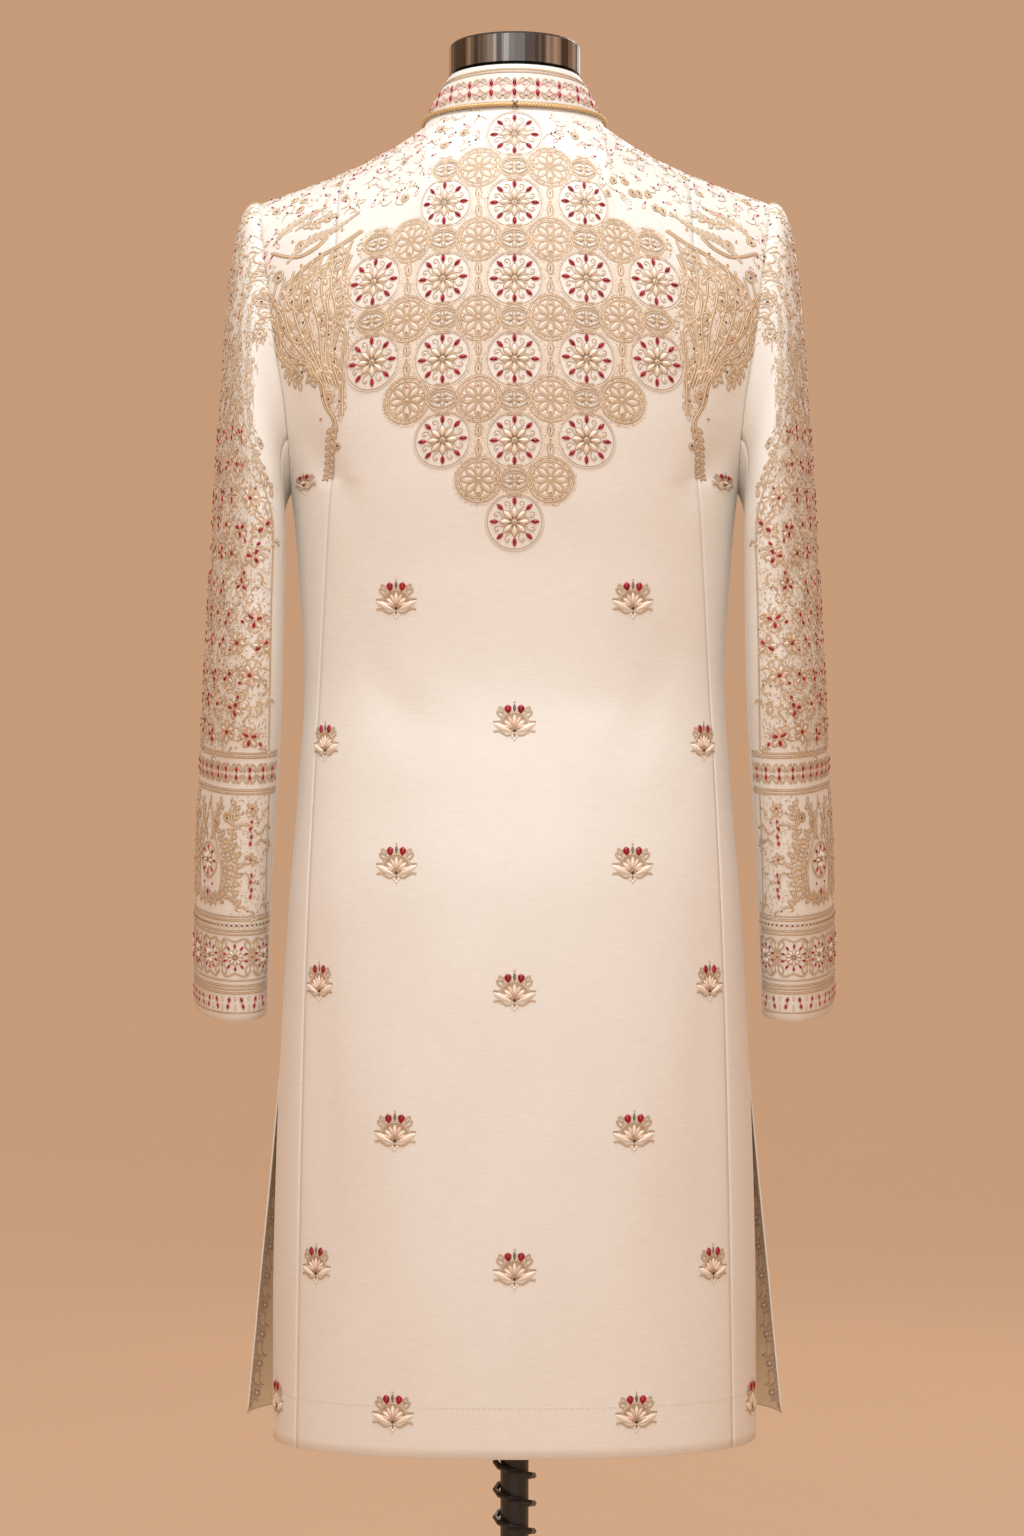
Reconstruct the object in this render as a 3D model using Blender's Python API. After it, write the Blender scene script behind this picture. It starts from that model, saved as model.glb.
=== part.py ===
"""Sherwani coat on a limbless dress form with a stand.

Metres, +Z up. The origin is on the floor at the middle of the base. The coat's front
faces -Y, its back +Y, and the wearer's left side is +X.

Every cloth panel is a thin wall: a grid of points on the coat's outer face, and the same
grid moved in by the cloth's thickness. The coat's body is one quarter surface (centre
line to side seam) for the back and one for the front, in three stretches:
  v 0 to 1  hem to underarm: level sections from BODY_SECTIONS
  v 1 to 2  underarm to the middle of the armhole: the same sections, cut by the armhole
  v 2 to 3  middle of the armhole to the neckline and shoulder seam
and u runs from 0 on the centre line to 1 on the side seam or armhole.
"""

import bpy
import bmesh
import numpy as np
from math import cos, pi, radians, sin, tan
from mathutils import Matrix

# ---------------------------------------------------------------- driving dimensions
CLOTH = 0.0018               # coat cloth with its interlining
COLLAR_CLOTH = 0.0024        # stiffened collar
SEAM_GAP = 0.0004            # clear gap between two pieces at a seam

BACK_HEM_Z = 0.425
FRONT_HEM_Z = 0.441
SLIT_TOP_Z = 0.753
UNDERARM_Z = 1.195
ARMHOLE_MID_Z = 1.300
ARMHOLE_MID_X = 0.192

NECK_HALF_WIDTH = 0.073
NECK_BACK_Y = 0.062
NECK_FRONT_Y = -0.076
NECK_BACK_Z = 1.500
NECK_FRONT_DROP = 0.064
NECK_SHARE = 0.40            # share of the quarter's top edge that is neckline
SHOULDER_END = (0.2095, 1.432)   # x, z of the shoulder point

SLIT_FLARE = 0.022           # how far the front panels' slit edges stand out at the hem
SLIT_FLARE_DEPTH = 0.31
SLIT_FLARE_POWER = 1.4

# Level sections of the coat's body. Depths are from the side seam's plane, y = 0.
# z, half_width, back_depth, front_depth, back_squareness, front_squareness
BODY_SECTIONS = np.array([
    (0.425, 0.1965, 0.125, 0.120, 2.40, 2.00),
    (0.530, 0.1965, 0.125, 0.120, 2.40, 2.05),
    (0.640, 0.1945, 0.124, 0.119, 2.40, 2.10),
    (0.753, 0.1900, 0.122, 0.117, 2.40, 2.20),
    (0.860, 0.1840, 0.117, 0.113, 2.40, 2.25),
    (0.950, 0.1770, 0.104, 0.108, 2.40, 2.30),
    (1.035, 0.1720, 0.093, 0.104, 2.40, 2.30),
    (1.120, 0.1765, 0.099, 0.112, 2.40, 2.30),
    (1.195, 0.1835, 0.109, 0.120, 2.40, 2.30),
    (1.250, 0.2000, 0.1135, 0.1225, 2.40, 2.30),
    (1.300, 0.2150, 0.1145, 0.1215, 2.40, 2.30),
    (1.350, 0.2200, 0.1120, 0.1160, 2.40, 2.30),
])

# How far the side-back seam stands from the centre line.
# z, x
SIDE_BACK_SEAM = np.array([
    (0.425, 0.1740),
    (0.753, 0.1690),
    (0.950, 0.1620),
    (1.035, 0.1575),
    (1.195, 0.1480),
    (1.300, 0.1410),
])

FRONT_OVERLAP = 0.014        # the left front passes the centre line by this
FRONT_UNDERLAP = 0.022       # the right front runs under it by this
UNDERLAP_STEP = 0.0029       # and lies this much deeper

# The sleeve below the underarm, in level sections.
# z, outer_x, inner_x, centre_y, half_depth
SLEEVE_SECTIONS = np.array([
    (1.150, 0.2515, 0.1872, 0.000, 0.078),
    (1.060, 0.2560, 0.1888, -0.003, 0.075),
    (0.980, 0.2600, 0.1925, -0.012, 0.070),
    (0.900, 0.2642, 0.1985, -0.024, 0.066),
    (0.820, 0.2664, 0.2025, -0.036, 0.062),
    (0.769, 0.2670, 0.2045, -0.044, 0.060),
])
SLEEVE_TURN = radians(13)    # the flat of the sleeve, turned from the coat's own side
SLEEVE_PITCH = radians(8)    # the cuff's plane, lower at the back
SLEEVE_SQUARENESS = 2.2
SLEEVE_LIFT = 0.0008         # clear of the armhole's edge
BACK_SLEEVE_SEAM = 0.45      # share of the lower back quarter that is top sleeve
FRONT_SLEEVE_SEAM = 0.50

COLLAR_HEIGHT = 0.036
COLLAR_TOP_HALF_WIDTH = 0.0555
COLLAR_TOP_BACK_Y = 0.0565
COLLAR_TOP_FRONT_Y = -0.0675
COLLAR_LIFT = 0.0022
COLLAR_END_GAP = radians(2.2)
PIPING_RADIUS = 0.0017

BUTTON_COUNT = 7
BUTTON_RADIUS = 0.0085
BUTTON_TOP_Z = 1.412
BUTTON_PITCH = 0.078

# The dress form in level sections, clear of the coat's inside.
# z, half_width, back_depth, front_depth
FORM_SECTIONS = np.array([
    (0.800, 0.1640, 0.0980, 0.0960),
    (0.806, 0.1680, 0.1020, 0.1000),
    (0.860, 0.1700, 0.1040, 0.1010),
    (0.950, 0.1630, 0.0920, 0.0960),
    (1.035, 0.1600, 0.0830, 0.0940),
    (1.120, 0.1640, 0.0890, 0.1010),
    (1.200, 0.1700, 0.0980, 0.1090),
    (1.300, 0.1760, 0.1040, 0.1090),
    (1.360, 0.1800, 0.0960, 0.0920),
    (1.395, 0.1740, 0.0820, 0.0730),
    (1.420, 0.1540, 0.0720, 0.0620),
    (1.440, 0.1270, 0.0650, 0.0570),
    (1.460, 0.0950, 0.0590, 0.0550),
    (1.478, 0.0680, 0.0550, 0.0530),
    (1.492, 0.0540, 0.0520, 0.0510),
])
FORM_SQUARENESS = 2.15
FORM_BOTTOM_Z = 0.800

NECK_BLOCK_RADIUS = 0.0490
NECK_BLOCK_TOP_Z = 1.5385
CAP_RADIUS = 0.0540
CAP_TOP_Z = 1.5635
CAP_BEVEL = 0.0020

POLE_RADIUS = 0.0115
SPRING_RADIUS = 0.0155       # to the middle of the wire
SPRING_WIRE_RADIUS = 0.0026
SPRING_PITCH = 0.0225
SPRING_TURNS = 9
SPRING_STEPS = 10             # points in each turn
SPRING_TOP_Z = 0.402
CLAMP_RADIUS = 0.0185
CLAMP_HEIGHT = 0.024
LEVER_LENGTH = 0.013
LEVER_DROP = 0.0006           # the lever's bend, growing with the square of its length
BASE_RADIUS = 0.200
BASE_EDGE_HEIGHT = 0.010
BASE_HUB_RADIUS = 0.030
BASE_HUB_HEIGHT = 0.046
TOUCH_GAP = 0.0004           # between two hard pieces that meet

BODY_ROWS = (11, 4, 7)       # rows in the three stretches of the body
BACK_COLUMNS = 14
SIDE_COLUMNS = 5
FRONT_COLUMNS = 13
SLEEVE_ROWS = (7, 8)         # rows in the sleeve head and below it
SLEEVE_COLUMNS = 6           # columns in each quarter of the sleeve
COLLAR_COLUMNS = 44
RING_SAMPLES = 90


# ---------------------------------------------------------------- small tools
def smooth_table(z, table, column):
    """A column of a table at height z, by a monotone cubic through its rows."""
    zs = table[:, 0]
    values = table[:, column]
    order = np.argsort(zs)
    zs = zs[order]
    values = values[order]
    step = np.diff(zs)
    slope = np.diff(values) / step
    tangent = np.zeros(len(zs))
    tangent[0] = slope[0]
    tangent[-1] = slope[-1]
    for i in range(1, len(zs) - 1):
        if slope[i - 1] * slope[i] > 0:
            tangent[i] = 2.0 / (1.0 / slope[i - 1] + 1.0 / slope[i])
    i = int(np.clip(np.searchsorted(zs, z) - 1, 0, len(zs) - 2))
    t = (z - zs[i]) / step[i]
    return hermite(values[i], tangent[i] * step[i], values[i + 1], tangent[i + 1] * step[i], t)


def hermite(start, start_tangent, end, end_tangent, t):
    """The cubic from start to end with the given end tangents, at t from 0 to 1."""
    return (
        (2 * t**3 - 3 * t**2 + 1) * start
        + (t**3 - 2 * t**2 + t) * start_tangent
        + (3 * t**2 - 2 * t**3) * end
        + (t**3 - t**2) * end_tangent
    )


def quarter_curve(half_width, depth, squareness, share):
    """Points (x, y) on a quarter superellipse, from its middle (0) to its side (1) by length."""
    angle = np.linspace(pi / 2, 0, RING_SAMPLES)
    x = half_width * np.abs(np.cos(angle)) ** (2 / squareness)
    y = depth * np.abs(np.sin(angle)) ** (2 / squareness)
    x[0] = 0.0
    y[-1] = 0.0
    length = np.concatenate([[0], np.cumsum(np.hypot(np.diff(x), np.diff(y)))])
    wanted = np.abs(share) * length[-1]
    return np.sign(share) * np.interp(wanted, length, x), np.interp(wanted, length, y)


def unit(vectors):
    return vectors / np.maximum(np.linalg.norm(vectors, axis=-1, keepdims=True), 1e-12)


# ---------------------------------------------------------------- the coat's body surface
def section(side, z, share):
    """Points on the level section at height z. side is 1 for the back and -1 for the front."""
    half_width = smooth_table(z, BODY_SECTIONS, 1)
    if side < 0 and z < SLIT_TOP_Z:
        half_width += SLIT_FLARE * ((SLIT_TOP_Z - z) / SLIT_FLARE_DEPTH) ** SLIT_FLARE_POWER
    depth = smooth_table(z, BODY_SECTIONS, 2 if side > 0 else 3)
    squareness = smooth_table(z, BODY_SECTIONS, 4 if side > 0 else 5)
    x, y = quarter_curve(half_width, depth, squareness, share)
    return np.stack([x, side * y, np.full_like(x, z)], axis=-1)


def armhole_share(side):
    """Share of the quarter at which the armhole's middle lies."""
    shares = np.linspace(0, 1, 400)
    points = section(side, ARMHOLE_MID_Z, shares)
    return float(np.interp(ARMHOLE_MID_X, points[:, 0], shares))


def neckline(side, share):
    """The neckline from the centre line (share 0) to the side of the neck (share 1)."""
    angle = pi / 2 * (1 - share)
    x = NECK_HALF_WIDTH * np.cos(angle)
    y = np.sin(angle) * (NECK_BACK_Y if side > 0 else NECK_FRONT_Y)
    toward_front = (1 - side * np.sin(angle)) / 2
    z = NECK_BACK_Z - NECK_FRONT_DROP * toward_front**4
    return np.stack([x, y, z], axis=-1)


def top_edge(side, u):
    """The neckline and then the shoulder seam, for u from 0 to 1."""
    side_sign = np.where(u < 0, -1.0, 1.0)
    u = np.abs(u)
    neck = neckline(side, np.minimum(u / NECK_SHARE, 1.0))
    along = np.clip((u - NECK_SHARE) / (1 - NECK_SHARE), 0, 1)
    start = neckline(side, np.array([1.0]))[0]
    drop = start[2] - SHOULDER_END[1]
    shoulder = np.stack([
        start[0] + along * (SHOULDER_END[0] - start[0]),
        np.zeros_like(along),
        start[2] - drop * (0.30 * (1 - (1 - along) ** 3) + 0.70 * along),
    ], axis=-1)
    edge = np.where((u < NECK_SHARE)[:, None], neck, shoulder)
    edge[:, 0] *= side_sign
    return edge


def upper_body(side, u, t):
    """The body above the armhole's middle: cubics from the last section to the top edge."""
    share = u * armhole_share(side)
    start = section(side, ARMHOLE_MID_Z, share)
    step = 0.004
    rise = (start - section(side, ARMHOLE_MID_Z - step, share)) / step
    end = top_edge(side, u)
    reach = np.linalg.norm(end - start, axis=-1, keepdims=True)
    to_shoulder = np.clip(np.abs(u) / NECK_SHARE, 0, 1)[:, None] ** 2
    at_neck = unit(np.array([0.0, -side * 0.50, 0.87]))
    at_shoulder = unit(np.array([0.0, -side * 1.0, 0.06]))
    arrive = unit(at_neck * (1 - to_shoulder) + at_shoulder * to_shoulder)
    return hermite(start, rise * reach * 1.05, end, arrive * reach * 1.10, t)


def body_row(side, v, u, hem_z):
    """A row of points on the back or front at v from 0 to 3, and the outward normals."""
    if v <= 2:
        z, cut = row_cut(side, v, hem_z)
        share = u * cut
        step = 0.002
        points = section(side, z, share)
        inner_share = np.clip(share, -1 + step, 1 - step)
        along = section(side, z, inner_share + step) - section(side, z, inner_share - step)
        low = max(z - step, hem_z)
        up = section(side, z + step, share) - section(side, low, share)
    else:
        step = 0.01
        t = v - 2
        points = upper_body(side, u, t)
        inside = np.clip(u, -1 + step, 1 - step)
        along = upper_body(side, inside + step, t) - upper_body(side, inside - step, t)
        up = upper_body(side, u, min(t + step, 1)) - upper_body(side, u, max(t - step, 0))
    return points, side * unit(np.cross(up, along))


def body_levels(hem_z):
    """The v of each row, hem to top edge."""
    low, middle, high = BODY_ROWS
    return np.concatenate([
        np.linspace(0, 1, low + 1),
        np.linspace(1, 2, middle + 1)[1:],
        np.linspace(2, 3, high + 1)[1:],
    ])


def row_cut(side, v, hem_z):
    """The height of row v below the armhole's middle, and its armhole's share of the quarter."""
    if v <= 1:
        return hem_z + (UNDERARM_Z - hem_z) * v, 1.0
    turn = (min(v, 2.0) - 1) * pi / 2
    z = ARMHOLE_MID_Z - (ARMHOLE_MID_Z - UNDERARM_Z) * cos(turn)
    return z, 1 - (1 - armhole_share(side)) * sin(turn)


def side_back_seam(v):
    """The u of the side-back seam at row v."""
    z, cut = row_cut(1, v, BACK_HEM_Z)
    shares = np.linspace(0, 1, 200)
    xs = section(1, z, shares)[:, 0]
    return float(np.interp(smooth_table(z, SIDE_BACK_SEAM, 1), xs, shares)) / cut


def body_panel(side, first_u, last_u, columns, hem_z):
    """Grids of points and normals between two seams, each given as a function of v."""
    rows = []
    for v in body_levels(hem_z):
        u = np.linspace(first_u(v), last_u(v), columns + 1)
        rows.append(body_row(side, v, u, hem_z))
    return np.array([row[0] for row in rows]), np.array([row[1] for row in rows])


# ---------------------------------------------------------------- the sleeve surface
def armhole(columns):
    """The armhole's loop of points from the shoulder round by the back, in four quarters."""
    edge = np.array([1.0])
    shares = np.linspace(0, 1, columns + 1)[:-1]
    loop = []
    for side, upper, downward in ((1, True, True), (1, False, True), (-1, False, False), (-1, True, False)):
        for share in shares:
            fall = share if downward else 1 - share
            v = 3 - fall if upper else 2 - fall
            hem_z = BACK_HEM_Z if side > 0 else FRONT_HEM_Z
            loop.append(body_row(side, v, edge, hem_z)[0][0])
    return np.array(loop)


def sleeve_section(z, columns):
    """A loop of the sleeve at height z, in the same order as the armhole's."""
    outer, inner, centre_y, half_depth = (smooth_table(z, SLEEVE_SECTIONS, i) for i in range(1, 5))
    half_width = (outer - inner) / 2
    flat_half = np.sqrt(half_width**2 - (half_depth * sin(SLEEVE_TURN)) ** 2) / cos(SLEEVE_TURN)
    shares = np.linspace(0, 1, columns + 1)[:-1]
    depth, width = quarter_curve(half_depth, flat_half, SLEEVE_SQUARENESS, shares)
    back_depth, back_width = quarter_curve(half_depth, flat_half, SLEEVE_SQUARENESS, 1 - shares)
    across = np.concatenate([width, -back_width, -width, back_width])
    along = np.concatenate([depth, back_depth, -depth, -back_depth])
    x = across * cos(SLEEVE_TURN) - along * sin(SLEEVE_TURN)
    y = across * sin(SLEEVE_TURN) + along * cos(SLEEVE_TURN)
    top = SLEEVE_SECTIONS[0, 0]
    bottom = SLEEVE_SECTIONS[-1, 0]
    pitch = SLEEVE_PITCH * (top - z) / (top - bottom)
    return np.stack([
        (outer + inner) / 2 + x,
        centre_y + y,
        z - y * tan(pitch),
    ], axis=-1)


def sleeve_grid(columns, head_rows, arm_rows):
    """Rows of loops from the armhole to the cuff, on the wearer's left."""
    loop = armhole(columns)
    angle = np.linspace(0, 2 * pi, 4 * columns, endpoint=False)
    top = np.clip(np.cos(angle), 0, 1)[:, None]
    low = np.clip(-np.cos(angle), 0, 1)[:, None]
    middle = 1 - top - low
    back = np.sin(angle)[:, None]
    first_z = SLEEVE_SECTIONS[0, 0]
    ring = sleeve_section(first_z, columns)
    outward = top * np.array([0.090, 0.0, 0.050]) + low * np.array([0.012, 0.0, -0.020])
    outward = outward + middle * np.array([0.070, 0.0, -0.050]) + back * np.array([0.0, 0.020, 0.0])
    start = loop + np.array([SLEEVE_LIFT, 0.0, 0.0]) + low * np.array([0.0, 0.0, -SLEEVE_LIFT])
    fall = (loop[:, 2] - first_z)[:, None]
    down = (ring - sleeve_section(first_z - 0.01, columns)) / 0.01
    rows = [
        hermite(start, outward, ring, -down * fall * 1.4, t)
        for t in np.linspace(0, 1, head_rows + 1)
    ]
    for z in np.linspace(first_z, SLEEVE_SECTIONS[-1, 0], arm_rows + 1)[1:]:
        rows.append(sleeve_section(z, columns))
    return np.array(rows)


def sleeve_normals(grid):
    """Outward normals of a closed sleeve grid."""
    along = np.roll(grid, -1, axis=1) - np.roll(grid, 1, axis=1)
    down = np.gradient(grid, axis=0)
    return unit(np.cross(down, along))


# ---------------------------------------------------------------- mesh making
def material(name, colour, roughness, metallic=0.0):
    made = bpy.data.materials.new(name)
    made.use_nodes = True
    shader = made.node_tree.nodes["Principled BSDF"]
    shader.inputs["Base Color"].default_value = (*colour, 1.0)
    shader.inputs["Roughness"].default_value = roughness
    shader.inputs["Metallic"].default_value = metallic
    return made


def add_object(name, mesh, finish):
    mesh.materials.append(finish)
    made = bpy.data.objects.new(name, mesh)
    bpy.context.scene.collection.objects.link(made)
    return made


def mesh_from(name, points, faces):
    mesh = bpy.data.meshes.new(name)
    mesh.from_pydata([tuple(p) for p in points], [], faces)
    shape = bmesh.new()
    shape.from_mesh(mesh)
    bmesh.ops.recalc_face_normals(shape, faces=shape.faces)
    shape.to_mesh(mesh)
    shape.free()
    mesh.shade_smooth()
    mesh.set_sharp_from_angle(angle=radians(50))
    return mesh


def draw_back(grid, gap):
    """Move the four edges of a grid in by the seam gap."""
    pulled = grid.copy()
    pulled[:, 0] += unit(grid[:, 1] - grid[:, 0]) * gap / 2
    pulled[:, -1] += unit(grid[:, -2] - grid[:, -1]) * gap / 2
    pulled[0] += unit(grid[1] - grid[0]) * gap / 2
    pulled[-1] += unit(grid[-2] - grid[-1]) * gap / 2
    return pulled


def wall(name, grid, normals, thickness, finish):
    """A closed wall: the outer grid, the inner grid and the strips round their edges."""
    rows, columns = grid.shape[:2]
    outer = draw_back(grid, SEAM_GAP)
    inner = outer - normals * thickness
    points = np.concatenate([outer.reshape(-1, 3), inner.reshape(-1, 3)])
    count = rows * columns

    def at(row, column, layer):
        return layer * count + row * columns + column

    faces = []
    for row in range(rows - 1):
        for column in range(columns - 1):
            loop = [(row, column), (row, column + 1), (row + 1, column + 1), (row + 1, column)]
            faces.append([at(r, c, 0) for r, c in loop])
            faces.append([at(r, c, 1) for r, c in reversed(loop)])
    rim = [(0, c) for c in range(columns)]
    rim += [(r, columns - 1) for r in range(1, rows)]
    rim += [(rows - 1, c) for c in range(columns - 2, -1, -1)]
    rim += [(r, 0) for r in range(rows - 2, 0, -1)]
    for here, there in zip(rim, rim[1:] + rim[:1]):
        faces.append([at(*here, 1), at(*there, 1), at(*there, 0), at(*here, 0)])
    return add_object(name, mesh_from(name, points, faces), finish)


def mirrored(grid):
    return grid * np.array([-1.0, 1.0, 1.0])


def turned(name, profile, segments, finish):
    """A solid of revolution about the Z axis from a closed (radius, z) outline."""
    points = []
    faces = []
    ring_start = []
    for radius, z in profile:
        ring_start.append(len(points))
        if radius == 0:
            points.append((0.0, 0.0, z))
        else:
            points += [
                (radius * cos(2 * pi * i / segments), radius * sin(2 * pi * i / segments), z)
                for i in range(segments)
            ]
    for k in range(len(profile) - 1):
        for i in range(segments):
            j = (i + 1) % segments
            here = ring_start[k]
            above = ring_start[k + 1]
            lower = [here] if profile[k][0] == 0 else [here + i, here + j]
            upper = [above] if profile[k + 1][0] == 0 else [above + j, above + i]
            faces.append(lower + upper)
    return add_object(name, mesh_from(name, points, faces), finish)


def tube(name, path, radius, sides, finish):
    """A round tube with flat ends along a path of points."""
    path = np.asarray(path, dtype=float)
    forward = unit(np.gradient(path, axis=0))
    points = []
    faces = []
    for point, direction in zip(path, forward):
        level = unit(np.cross(direction, [0.0, 0.0, 1.0]))
        upward = np.cross(level, direction)
        for i in range(sides):
            angle = 2 * pi * i / sides
            points.append(point + radius * (level * cos(angle) + upward * sin(angle)))
    for k in range(len(path) - 1):
        for i in range(sides):
            j = (i + 1) % sides
            faces.append([k * sides + i, k * sides + j, (k + 1) * sides + j, (k + 1) * sides + i])
    faces.append(list(range(sides)))
    faces.append(list(range((len(path) - 1) * sides, len(path) * sides)))
    return add_object(name, mesh_from(name, points, faces), finish)


# ---------------------------------------------------------------- coat pieces
def make_back(cloth):
    grid, normals = body_panel(1, lambda v: -side_back_seam(v), side_back_seam, BACK_COLUMNS, BACK_HEM_Z)
    wall("back_centre", grid, normals, CLOTH, cloth)
    grid, normals = body_panel(1, side_back_seam, lambda v: 1.0, SIDE_COLUMNS, BACK_HEM_Z)
    wall("back_side_left", grid, normals, CLOTH, cloth)
    wall("back_side_right", mirrored(grid), mirrored(normals), CLOTH, cloth)


def front_edge(width):
    """The u at which a front stops beyond the centre line, with the width it passes it by."""
    def at(v):
        unit_u = np.array([0.1])
        probe = body_row(-1, v, unit_u, FRONT_HEM_Z)[0][0]
        return -width * 0.1 / abs(probe[0])
    return at


def make_fronts(cloth):
    grid, normals = body_panel(-1, front_edge(FRONT_OVERLAP), lambda v: 1.0, FRONT_COLUMNS, FRONT_HEM_Z)
    wall("front_left", grid, normals, CLOTH, cloth)
    grid, normals = body_panel(-1, front_edge(FRONT_UNDERLAP), lambda v: 1.0, FRONT_COLUMNS + 3, FRONT_HEM_Z)
    covered = np.clip((0.030 - grid[..., 0]) / 0.012, 0, 1)
    covered = (covered**2 * (3 - 2 * covered))[..., None]
    grid = grid - normals * covered * UNDERLAP_STEP
    wall("front_right", mirrored(grid), mirrored(normals), CLOTH, cloth)


def make_sleeves(cloth):
    columns = SLEEVE_COLUMNS
    grid = sleeve_grid(columns, *SLEEVE_ROWS)
    normals = sleeve_normals(grid)
    loop = 4 * columns
    back_seam = columns + BACK_SLEEVE_SEAM * columns
    front_seam = 3 * columns - FRONT_SLEEVE_SEAM * columns
    pieces = {
        "sleeve_under": np.linspace(back_seam, front_seam, columns),
        "sleeve_top": np.linspace(front_seam, back_seam + loop, 3 * columns),
    }
    for name, places in pieces.items():
        piece = pick_columns(grid, places)
        piece_normals = unit(pick_columns(normals, places))
        wall(name + "_left", piece, piece_normals, CLOTH, cloth)
        wall(name + "_right", mirrored(piece), mirrored(piece_normals), CLOTH, cloth)


def pick_columns(grid, places):
    """Columns of a closed grid at fractional places."""
    loop = grid.shape[1]
    low = np.floor(places).astype(int)
    share = (places - low)[None, :, None]
    return grid[:, low % loop] * (1 - share) + grid[:, (low + 1) % loop] * share


def neck_loop(angle, lift):
    """The neckline by angle from the wearer's left, a quarter turn being the back."""
    back = np.sin(angle)
    y = np.where(back > 0, NECK_BACK_Y, -NECK_FRONT_Y) * back
    z = NECK_BACK_Z - NECK_FRONT_DROP * ((1 - back) / 2) ** 4 + lift
    return np.stack([NECK_HALF_WIDTH * np.cos(angle), y, z], axis=-1)


def make_collar(cloth, gold):
    angle = np.linspace(-pi / 2 + COLLAR_END_GAP, 3 * pi / 2 - COLLAR_END_GAP, COLLAR_COLUMNS + 1)
    base = neck_loop(angle, COLLAR_LIFT)
    back = np.sin(angle)
    end = np.minimum(angle - angle[0], angle[-1] - angle) / 0.30
    corner = np.clip(1 - end, 0, 1) ** 2
    top = np.stack([
        COLLAR_TOP_HALF_WIDTH * np.cos(angle),
        np.where(back > 0, COLLAR_TOP_BACK_Y, -COLLAR_TOP_FRONT_Y) * back,
        base[:, 2] + COLLAR_HEIGHT - COLLAR_LIFT - 0.010 * corner,
    ], axis=-1)
    rows = []
    for t in np.linspace(0, 1, 5):
        bulge = 0.0016 * sin(pi * t)
        rows.append(base * (1 - t) + top * t + unit(base * [1, 1, 0]) * bulge)
    grid = np.array(rows)
    along = np.gradient(grid, axis=1)
    up = np.gradient(grid, axis=0)
    wall("collar", grid, unit(np.cross(along, up)), COLLAR_CLOTH, cloth)

    seam = neck_loop(angle, 0.0)
    away = unit(seam * [1, 1, 0])
    centre = seam + away * (PIPING_RADIUS + 0.0009) + np.array([0.0, 0.0, 1.0]) * (PIPING_RADIUS + 0.0011)
    tube("collar_piping", centre[1:-1], PIPING_RADIUS, 6, gold)


def make_buttons(gold):
    for number in range(BUTTON_COUNT):
        z = BUTTON_TOP_Z - number * BUTTON_PITCH
        place, normal = front_point(z)
        centre = place + normal * TOUCH_GAP
        outline = [
            (0.0, 0.0), (0.6 * BUTTON_RADIUS, 0.0), (BUTTON_RADIUS, 0.0016), (BUTTON_RADIUS, 0.0028),
            (0.82 * BUTTON_RADIUS, 0.0046), (0.45 * BUTTON_RADIUS, 0.0057), (0.0, 0.0061),
        ]
        button = turned(f"button_{number + 1}", outline, 16, gold)
        tilt = np.arctan2(-normal[1], normal[2])
        button.data.transform(Matrix.Rotation(tilt, 4, "X"))
        button.location = centre


def front_point(z):
    """The front wall's centre line at height z between two of its rows, with its outward normal."""
    centre = np.array([0.0])
    line = np.array([body_row(-1, v, centre, FRONT_HEM_Z)[0][0] for v in body_levels(FRONT_HEM_Z)])
    y = float(np.interp(z, line[:, 2], line[:, 1]))
    row = int(np.searchsorted(line[:, 2], z))
    rise = line[row] - line[row - 1]
    return np.array([0.0, y, z]), unit(np.array([0.0, -rise[2], rise[1]]))


# ---------------------------------------------------------------- form and stand
def make_form(black, steel):
    columns = 40
    angle = np.linspace(0, 2 * pi, columns, endpoint=False)
    rows = []
    for z, half_width, back_depth, front_depth in FORM_SECTIONS:
        x = half_width * np.sign(np.cos(angle)) * np.abs(np.cos(angle)) ** (2 / FORM_SQUARENESS)
        depth = np.where(np.sin(angle) > 0, back_depth, front_depth)
        y = depth * np.sign(np.sin(angle)) * np.abs(np.sin(angle)) ** (2 / FORM_SQUARENESS)
        rows.append(np.stack([x, y, np.full(columns, z)], axis=-1))
    points = np.concatenate(rows)
    faces = []
    for k in range(len(rows) - 1):
        for i in range(columns):
            j = (i + 1) % columns
            faces.append([k * columns + i, k * columns + j, (k + 1) * columns + j, (k + 1) * columns + i])
    faces.append(list(range(columns)))
    faces.append(list(range((len(rows) - 1) * columns, len(rows) * columns)))
    add_object("form_torso", mesh_from("form_torso", points, faces), black)

    block_bottom = FORM_SECTIONS[-1, 0] + TOUCH_GAP
    turned("neck_block", [
        (0.0, block_bottom), (NECK_BLOCK_RADIUS, block_bottom),
        (NECK_BLOCK_RADIUS, NECK_BLOCK_TOP_Z), (0.0, NECK_BLOCK_TOP_Z),
    ], 32, black)
    cap_bottom = NECK_BLOCK_TOP_Z + TOUCH_GAP
    turned("neck_cap", [
        (0.0, cap_bottom), (CAP_RADIUS, cap_bottom),
        (CAP_RADIUS, CAP_TOP_Z - CAP_BEVEL), (CAP_RADIUS - CAP_BEVEL, CAP_TOP_Z), (0.0, CAP_TOP_Z),
    ], 40, steel)


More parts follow.
